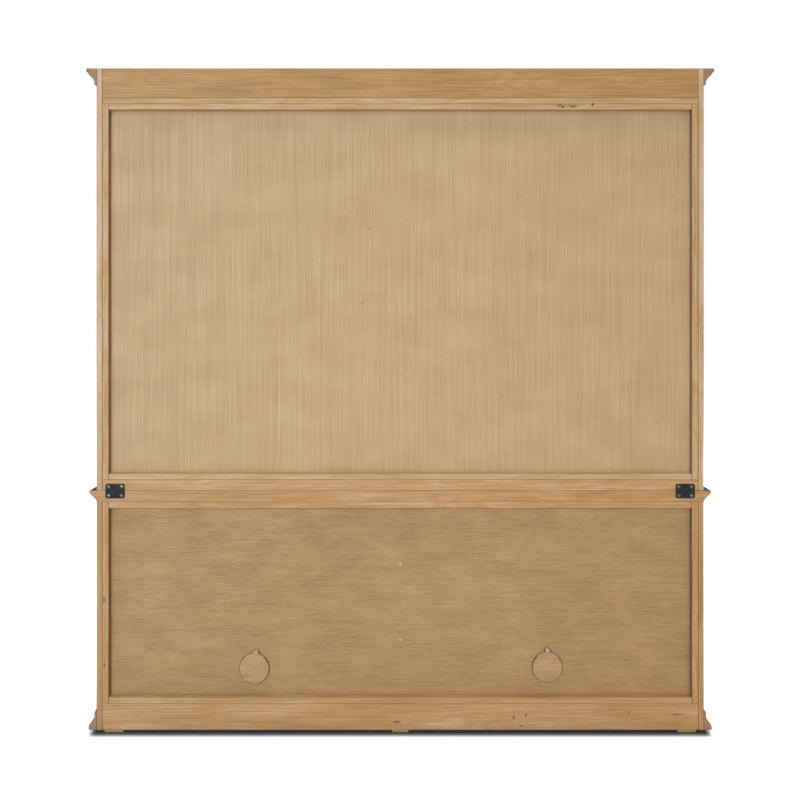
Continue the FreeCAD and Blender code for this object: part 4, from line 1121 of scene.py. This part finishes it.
set_out(screw_mesh("divider_screw", SMALL_HEAD, SMALL_HEAD_HEIGHT, DIVIDER_SCREW_LENGTH),
        [(0, panel_y, LOW_DIVIDER_SCREW), (0, panel_y, high_divider_screw)],
        "dressed_divider_screws", CABINET, zinc_steel, ["back_panel_screws"], math.pi)

# %% Brads
BRAD_HEAD = 1.8 * MM
BRAD_SHANK = 0.9 * MM
BRAD_CAP = 0.8 * MM
BRAD_LENGTH = 20 * MM
BRAD_SHOULDER = 18 * MM
RIM_SHARE, CROWN_SHARE = 0.6, 0.7
BRAD_SIDES = 16
INNER_BRAD = 344 * MM
brads_low, brads_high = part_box("back_panel_brads")
outer_brad = brads_high.x - BRAD_HEAD
brad_profile = [(0, -BRAD_LENGTH), (BRAD_SHANK, -BRAD_SHOULDER), (BRAD_SHANK, 0), (BRAD_HEAD, 0),
                (BRAD_HEAD, BRAD_CAP * RIM_SHARE), (BRAD_HEAD * CROWN_SHARE, BRAD_CAP), (0, BRAD_CAP)]
brad_places = [(x, panel_y, z) for x in (-outer_brad, -INNER_BRAD, 0, INNER_BRAD, outer_brad)
               for z in (brads_low.z + BRAD_HEAD, brads_high.z - BRAD_HEAD)]
set_out(as_mesh(lathe(brad_profile, BRAD_SIDES), "brad"), brad_places, "dressed_brads", CABINET,
        black_zinc, ["back_panel_brads"], math.pi)

# %% Shelf pins
PIN_RADIUS = 2.5 * MM
PIN_LENGTH = 16 * MM
PIN_ROUND = 0.6 * MM
PIN_SIDES = 20
pins_low, pins_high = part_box("shelf_pins")
pin_z = (pins_low.z + pins_high.z) / 2
divider_pin_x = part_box("base_divider")[1].x
pin_profile = [(0, 0), (PIN_RADIUS - PIN_ROUND, 0), (PIN_RADIUS, PIN_ROUND),
               (PIN_RADIUS, PIN_LENGTH - PIN_ROUND), (PIN_RADIUS - PIN_ROUND, PIN_LENGTH), (0, PIN_LENGTH)]
pin = lathe(pin_profile, PIN_SIDES)
pin.transform(Matrix.Rotation(math.radians(-90), 4, "Z") @ Matrix.Translation((0, -PIN_LENGTH / 2, 0)))
pin_places = [(x, y, pin_z) for x in (pins_low.x + PIN_LENGTH / 2, -divider_pin_x, divider_pin_x,
                                      pins_high.x - PIN_LENGTH / 2)
              for y in (pins_low.y + PIN_RADIUS, pins_high.y - PIN_RADIUS)]
set_out(as_mesh(pin, "shelf_pin"), pin_places, "dressed_shelf_pins", CABINET, zinc_steel,
        ["shelf_pins"])

# %% [markdown]
# ### Plates and cable covers
# The two black plates tie the units together. The round covers hang from one screw each over the
# cable ports. Both keep the CAD outline, and only get their rims eased; a cover's wide rim is painted
# dark, a painted shadow round it.

# %% Joining plates
PLATE_RIM_SHARE = 0.85


def rim_of(middle, span):
    """A test for the edges of a plate's outline, and not of its screw holes."""
    def on_rim(edge):
        spot = (edge.verts[0].co + edge.verts[1].co) / 2 - middle
        return max(abs(spot.x) / span.x, abs(spot.z) / span.z) > PLATE_RIM_SHARE
    return on_rim


for side in ("left", "right"):
    node = "joining_plate_" + side
    low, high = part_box(node)
    work = Joinery()
    drilled(work, node, "X", {"": 0}, rim_of((low + high) / 2, (high - low) / 2), FINE_ARRIS)
    work.make("dressed_" + node, CABINET, [black_iron], [node], smooth=True)

# %% Cable covers
BORE_ZONE = 5 * MM
# A wide arris, which carries the painted shadow round the cover's rim
COVER_ARRIS = 1.3 * MM


def off_the_bore(x, z):
    """A test for the edges of a cover that aren't part of the bore at its pivot."""
    def outside(edge):
        spot = (edge.verts[0].co + edge.verts[1].co) / 2
        return math.hypot(spot.x - x, spot.z - z) > BORE_ZONE
    return outside


for side, pivot in {"left": left_pivot, "right": right_pivot}.items():
    node = "cable_cover_" + side
    work = Joinery()
    drilled(work, node, "X", {"": 0}, off_the_bore(*pivot), COVER_ARRIS)
    work.make("dressed_" + node, node, [cover_veneer], [node], smooth=True)

# %% [markdown]
# ### Knobs and hinges
# A knob is turned: a flat rose, a slim neck and a domed head. A butt hinge is two leaves whose
# knuckles share a pin. The door's leaf carries the middle knuckle and the frame's leaf the outer
# two, with a small play between them, so the door's half can turn with the door.

# %% Knobs
KNOB_POINTS = [(0, 0), (9, 0), (9, 1.8), (8.2, 2.5), (6.4, 3.6), (5.5, 5), (5.2, 8.5), (5.9, 12), (9, 14.2),
               (13, 15.6), (14.7, 16.6), (15, 17.5), (14.6, 18.8), (13, 20.9), (10.5, 23.1), (7.4, 24.8),
               (3.8, 25.7), (0, 26)]
knob_profile = [(radius * MM, y * MM) for radius, y in KNOB_POINTS]
KNOB_SIDES = 48
KNOB_SHARP = 50
knob_mesh = as_mesh(lathe(knob_profile, KNOB_SIDES, forward=-1), "knob", KNOB_SHARP)
KNOB_HEIGHTS = {"base": 596 * MM, "upper": 1291 * MM}
for unit, door, side in doors(*UNITS):
    low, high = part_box(door + "_frame")
    x = high.x - MEMBER / 2 if side > 0 else low.x + MEMBER / 2
    set_out(knob_mesh, [(x, low.y, KNOB_HEIGHTS[unit])], f"dressed_{door}_knob", door,
            aged_bronze, [door + "_hardware"])

# %% Hinge halves
HINGE = 66 * MM
KNUCKLE = 4 * MM
KNUCKLE_FORWARD = 4.3 * MM
PLAY = 0.4 * MM
LEAF_DEPTH = 18 * MM
EASE = 0.4 * MM
BARREL_SIDES = 28
HINGE_SHARP = 40
third = HINGE / 3


def hinge_half(name, side, knuckles):
    """A leaf and its knuckles, with the lower end of the pin's line at the origin."""
    bm = bmesh.new()
    near, far = PLAY / 2 * side, HINGE_GAP / 2 * side
    block(bm, (near, KNUCKLE_FORWARD, 0), (far, KNUCKLE_FORWARD + LEAF_DEPTH, HINGE))
    length = third - PLAY
    for k in knuckles:
        start = third * k + PLAY / 2
        block(bm, (near, 0, start), (far, KNUCKLE_FORWARD, start + length))
        barrel = lathe([(0, 0), (KNUCKLE - EASE, 0), (KNUCKLE, EASE), (KNUCKLE, length - EASE),
                        (KNUCKLE - EASE, length), (0, length)], BARREL_SIDES)
        barrel.transform(Matrix.Translation((0, 0, start)) @ Matrix.Rotation(math.radians(90), 4, "X"))
        piece = bpy.data.meshes.new("barrel")
        barrel.to_mesh(piece)
        barrel.free()
        bm.from_mesh(piece)
        bpy.data.meshes.remove(piece)
    bmesh.ops.recalc_face_normals(bm, faces=bm.faces)
    return as_mesh(bm, name, HINGE_SHARP)


print("a tool: hinge_half")

# %% Hang the doors
HINGE_INSET = 90 * MM
HINGE_COUNTS = {"base": 2, "upper": 3}
frame_places = {1: [], -1: []}
halves = {side: hinge_half(f"door_leaf_{side}", side, [1]) for side in (1, -1)}
for unit, door, side in doors(*UNITS):
    low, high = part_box(door + "_frame")
    count = HINGE_COUNTS[unit]
    x = low.x - HINGE_GAP / 2 if side > 0 else high.x + HINGE_GAP / 2
    step = (high.z - low.z - HINGE_INSET * 2 - HINGE) / (count - 1)
    places = [(x, low.y - KNUCKLE_FORWARD, low.z + HINGE_INSET + step * i) for i in range(count)]
    frame_places[-side] += places
    set_out(halves[side], places, f"dressed_{door}_hinges", door, aged_bronze,
            [door + "_hardware"])
for side, places in frame_places.items():
    word = "right" if side > 0 else "left"
    set_out(hinge_half(f"frame_leaf_{word}", side, [0, 2]), places, f"dressed_frame_leaves_{word}", CABINET,
            aged_bronze, ["hinge_frame_leaves"])

# %% Hinge pins
FINIAL = 1.2 * MM
FINIAL_RIM = 0.3 * MM
FINIAL_RADIUS = 2.6 * MM
HINGE_PIN_SIDES = 24
finial = [(FINIAL_RADIUS, 0), (FINIAL_RADIUS, FINIAL_RIM), (FINIAL_RADIUS / 2, FINIAL), (0, FINIAL)]
pin_profile = [(radius, -y) for radius, y in reversed(finial)]
pin_profile += [(SHANK, 0), (SHANK, HINGE)] + [(radius, HINGE + y) for radius, y in finial]
hinge_pin = lathe(pin_profile, HINGE_PIN_SIDES)
hinge_pin.transform(Matrix.Rotation(math.radians(90), 4, "X"))
set_out(as_mesh(hinge_pin, "hinge_pin"), frame_places[1] + frame_places[-1], "dressed_hinge_pins", CABINET,
        aged_bronze, ["hinge_pins"])

# %% [markdown]
# ### Magnetic catches
# Behind the head of each pair of doors sits a brown plastic catch with two steel poles, and each
# door carries a thin steel plate that it pulls on.

# %% Catches
CATCH = 64 * MM
CATCH_DEPTH = 12 * MM
CATCH_RISE = 16 * MM
CATCH_OVERLAP = 10 * MM
POLE = 0.3 * MM
POLE_REACH = 9 * MM
POLE_HEIGHT = 2 * MM
POLE_RISES = (2 * MM, 6 * MM)
POLE_ARRIS = 0.1 * MM
catches = Joinery()
poles = Joinery()
for unit in UNITS:
    for first in LEFT_HUNG:
        low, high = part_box(f"{unit}_door_{first}_frame")
        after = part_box(f"{unit}_door_{first + 1}_frame")[0]
        x = (high.x + after.x) / 2
        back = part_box(unit + "_face_frame")[1].y
        bottom, top = high.z - CATCH_OVERLAP, high.z + END_GAP + CATCH_RISE
        board(catches, (x - CATCH / 2, back, bottom), (x + CATCH / 2, back + CATCH_DEPTH, top), "X", {"": 0})
        for centre in (x - CATCH / 4, x + CATCH / 4):
            for z in (bottom + rise for rise in POLE_RISES):
                board(poles, (centre - POLE_REACH, back - POLE, z),
                      (centre + POLE_REACH, back, z + POLE_HEIGHT), "X", {"": 0}, POLE_ARRIS)
catches.make("dressed_catches", CABINET, [catch_plastic], ["magnetic_catches"])
poles.make("dressed_catch_poles", CABINET, [zinc_steel], ["magnetic_catches"])

# %% Strike plates
STRIKE = (28 * MM, 0.5 * MM, 11 * MM)
STRIKE_INSET = 2 * MM
STRIKE_DROP = 1 * MM
STRIKE_ARRIS = 0.15 * MM
for _, door, side in doors(*UNITS):
    low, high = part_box(door + "_frame")
    left = high.x - STRIKE_INSET - STRIKE[0] if side > 0 else low.x + STRIKE_INSET
    bottom = high.z - STRIKE_DROP - STRIKE[2]
    work = Joinery()
    board(work, (left, high.y, bottom), (left + STRIKE[0], high.y + STRIKE[1], bottom + STRIKE[2]), "X",
          {"": 0}, STRIKE_ARRIS)
    work.make(f"dressed_{door}_strike", door, [zinc_steel], [])

# %% [markdown]
# ## Floor, light and camera
# A product photograph on white needs a pale floor that keeps the shadow under the cabinet. The
# floor is matt paper that also shines, more so further away. The camera sees that shine in full.
# Reflections, and views through glass, see a fifth of it: a pane would otherwise mirror the floor
# twice as bright as the backdrop. The cost is that far floor looks grey through an open pane. Light
# that has been scattered sees no shine and a tenth of the backdrop, through glass too, so that a
# pane doesn't fill the inside with light. Close to the foot the paper is darker, for the narrow
# contact shadow.
#
# One soft box hangs overhead, close to the plane of the back, and throws the fine shadows under
# ledges. A weak one stands high behind the camera and a warm one low. A cool one pales the
# picture's left side, a weak one fills the right, and two raised ones light the front.

# %% Floor
FOOTPRINT = (side_x, rear_y, 0)
FADE_METRES = 1.6
MIRRORED_SHARE = 0.2
HALF_FLOOR = 14.0
BEFORE_ONE_BOUNCE = 0.5


def seen_directly(tree):
    """One for the camera's rays, reflections and views through glass, and zero for scattered light."""
    rays = add(tree, "ShaderNodeLightPath").outputs
    seen = rays["Is Camera Ray"]
    for name in ("Is Glossy Ray", "Is Transmission Ray"):
        seen = maths(tree, "MAXIMUM", seen, rays[name])
    unscattered = maths(tree, "LESS_THAN", rays["Diffuse Depth"], BEFORE_ONE_BOUNCE)
    return maths(tree, "MULTIPLY", seen, unscattered)


material, tree = empty_material("studio_paper_white")
mirrored = vectors(tree, "ABSOLUTE", add(tree, "ShaderNodeTexCoord").outputs["Object"])[0]
outside = vectors(tree, "MAXIMUM", vectors(tree, "SUBTRACT", mirrored, FOOTPRINT)[0], (0, 0, 0))[0]
share = maths(tree, "DIVIDE", vectors(tree, "LENGTH", outside)["Value"], FADE_METRES)
# A stop's place is a share of the way on which the paper fades to white
glow = add(tree, "ShaderNodeValToRGB", None, {"Fac": share},
           [(0.0, "#000000"), (1.0, "#f8f8f8"), (0.007, "#202020"), (0.02, "#d4d4d4")]).outputs["Color"]
# Painted contact shadow: the paper's colour, and the glow above, go dark close to the foot
tint = add(tree, "ShaderNodeValToRGB", None, {"Fac": share},
           [(0.0, "#646b6e"), (0.021, "#f7f7f6"), (0.006, "#697073")]).outputs["Color"]
to_camera = add(tree, "ShaderNodeLightPath").outputs["Is Camera Ray"]
kept = maths(tree, "MULTIPLY_ADD", to_camera, 1 - MIRRORED_SHARE, MIRRORED_SHARE)
kept = maths(tree, "MULTIPLY", kept, seen_directly(tree))
glow = add(tree, "ShaderNodeVectorMath", {"operation": "SCALE"}, {0: glow, "Scale": kept})
paper = add(tree, "ShaderNodeBsdfDiffuse", None, {"Color": tint})
shine = add(tree, "ShaderNodeEmission", None, {"Color": glow.outputs[0], "Strength": 1.0})
both = add(tree, "ShaderNodeAddShader", None, {0: paper.outputs[0], 1: shine.outputs[0]})
add(tree, "ShaderNodeOutputMaterial", None, {"Surface": both.outputs[0]})
mesh = bpy.data.meshes.new("floor")
mesh.from_pydata([(x * HALF_FLOOR, y * HALF_FLOOR, 0) for x, y in ((-1, -1), (1, -1), (1, 1), (-1, 1))],
                 [], [(0, 1, 2, 3)])
mesh.materials.append(material)
floor = into_scene("floor", mesh)
print("floor:", HALF_FLOOR * 2, "m wide")

# %% Backdrop
AMBIENT = 0.1
world = bpy.data.worlds.new("studio")
bpy.context.scene.world = world
world.use_nodes = True
tree = world.node_tree
tree.nodes.clear()
strength = remap(tree, seen_directly(tree), 0.0, 1.0, AMBIENT, 1.0)
backdrop = add(tree, "ShaderNodeBackground", None, {"Color": linear("#ffffff"), "Strength": strength})
add(tree, "ShaderNodeOutputWorld", None, {"Surface": backdrop.outputs[0]})
print("ambient", AMBIENT)


# %% Lamps
def lamp(name, place, size, power, colour):
    """A square soft box that looks at the middle of the cabinet."""
    data = bpy.data.lights.new(name, "AREA")
    data.size = size
    data.energy = power
    data.color = linear(colour)[:3]
    box = into_scene(name, data)
    box.location = place
    box.rotation_mode = "QUATERNION"
    target = Vector((0, 0, (cad_low.z + cad_high.z) / 2))
    box.rotation_quaternion = (target - Vector(place)).to_track_quat("-Z", "Y")
    print(name, power, "W")


lamp("rear_overhead_box", (0, 1.0, 6.5), 2.0, 142, "#fff0dc")
lamp("rear_high_box", (0.2, 8.0, 4.6), 3.2, 30, "#fff8f1")
lamp("rear_low_box", (0, 4.8, 0.6), 1.8, 62, "#ffe2bc")
lamp("rear_left_box", (1.7, 4.8, 1.9), 1.2, 134, "#c2deff")
lamp("rear_right_box", (-2.2, 4.6, 1.6), 1.2, 10, "#fff4e8")
lamp("front_left_box", (-2.8, -4.6, 4.4), 2.4, 300, "#fff8ee")
lamp("front_right_box", (3.0, -4.8, 4.0), 2.4, 150, "#eef3ff")

# %% Camera
CAMERA_DISTANCE = 2.7
SENSOR = 36
camera = into_scene("camera", bpy.data.cameras.new("camera"))
camera.data.sensor_width = SENSOR
camera.data.lens = SENSOR * CAMERA_DISTANCE / (IMAGE_PIXELS * PIXEL)
camera.data.shift_x = 0.5 - MIDDLE_PIXEL / IMAGE_PIXELS
camera.data.shift_y = HORIZON_PIXEL / IMAGE_PIXELS - 0.5
camera.location = (0, rear_y + CAMERA_DISTANCE, (FLOOR_PIXEL - HORIZON_PIXEL) * PIXEL)
camera.rotation_euler = (math.radians(90), 0, math.radians(180))
bpy.context.scene.camera = camera
bpy.context.scene.view_settings.view_transform = "Standard"
print("lens", round(camera.data.lens, 2), "mm, eye at", [round(v, 3) for v in camera.location])
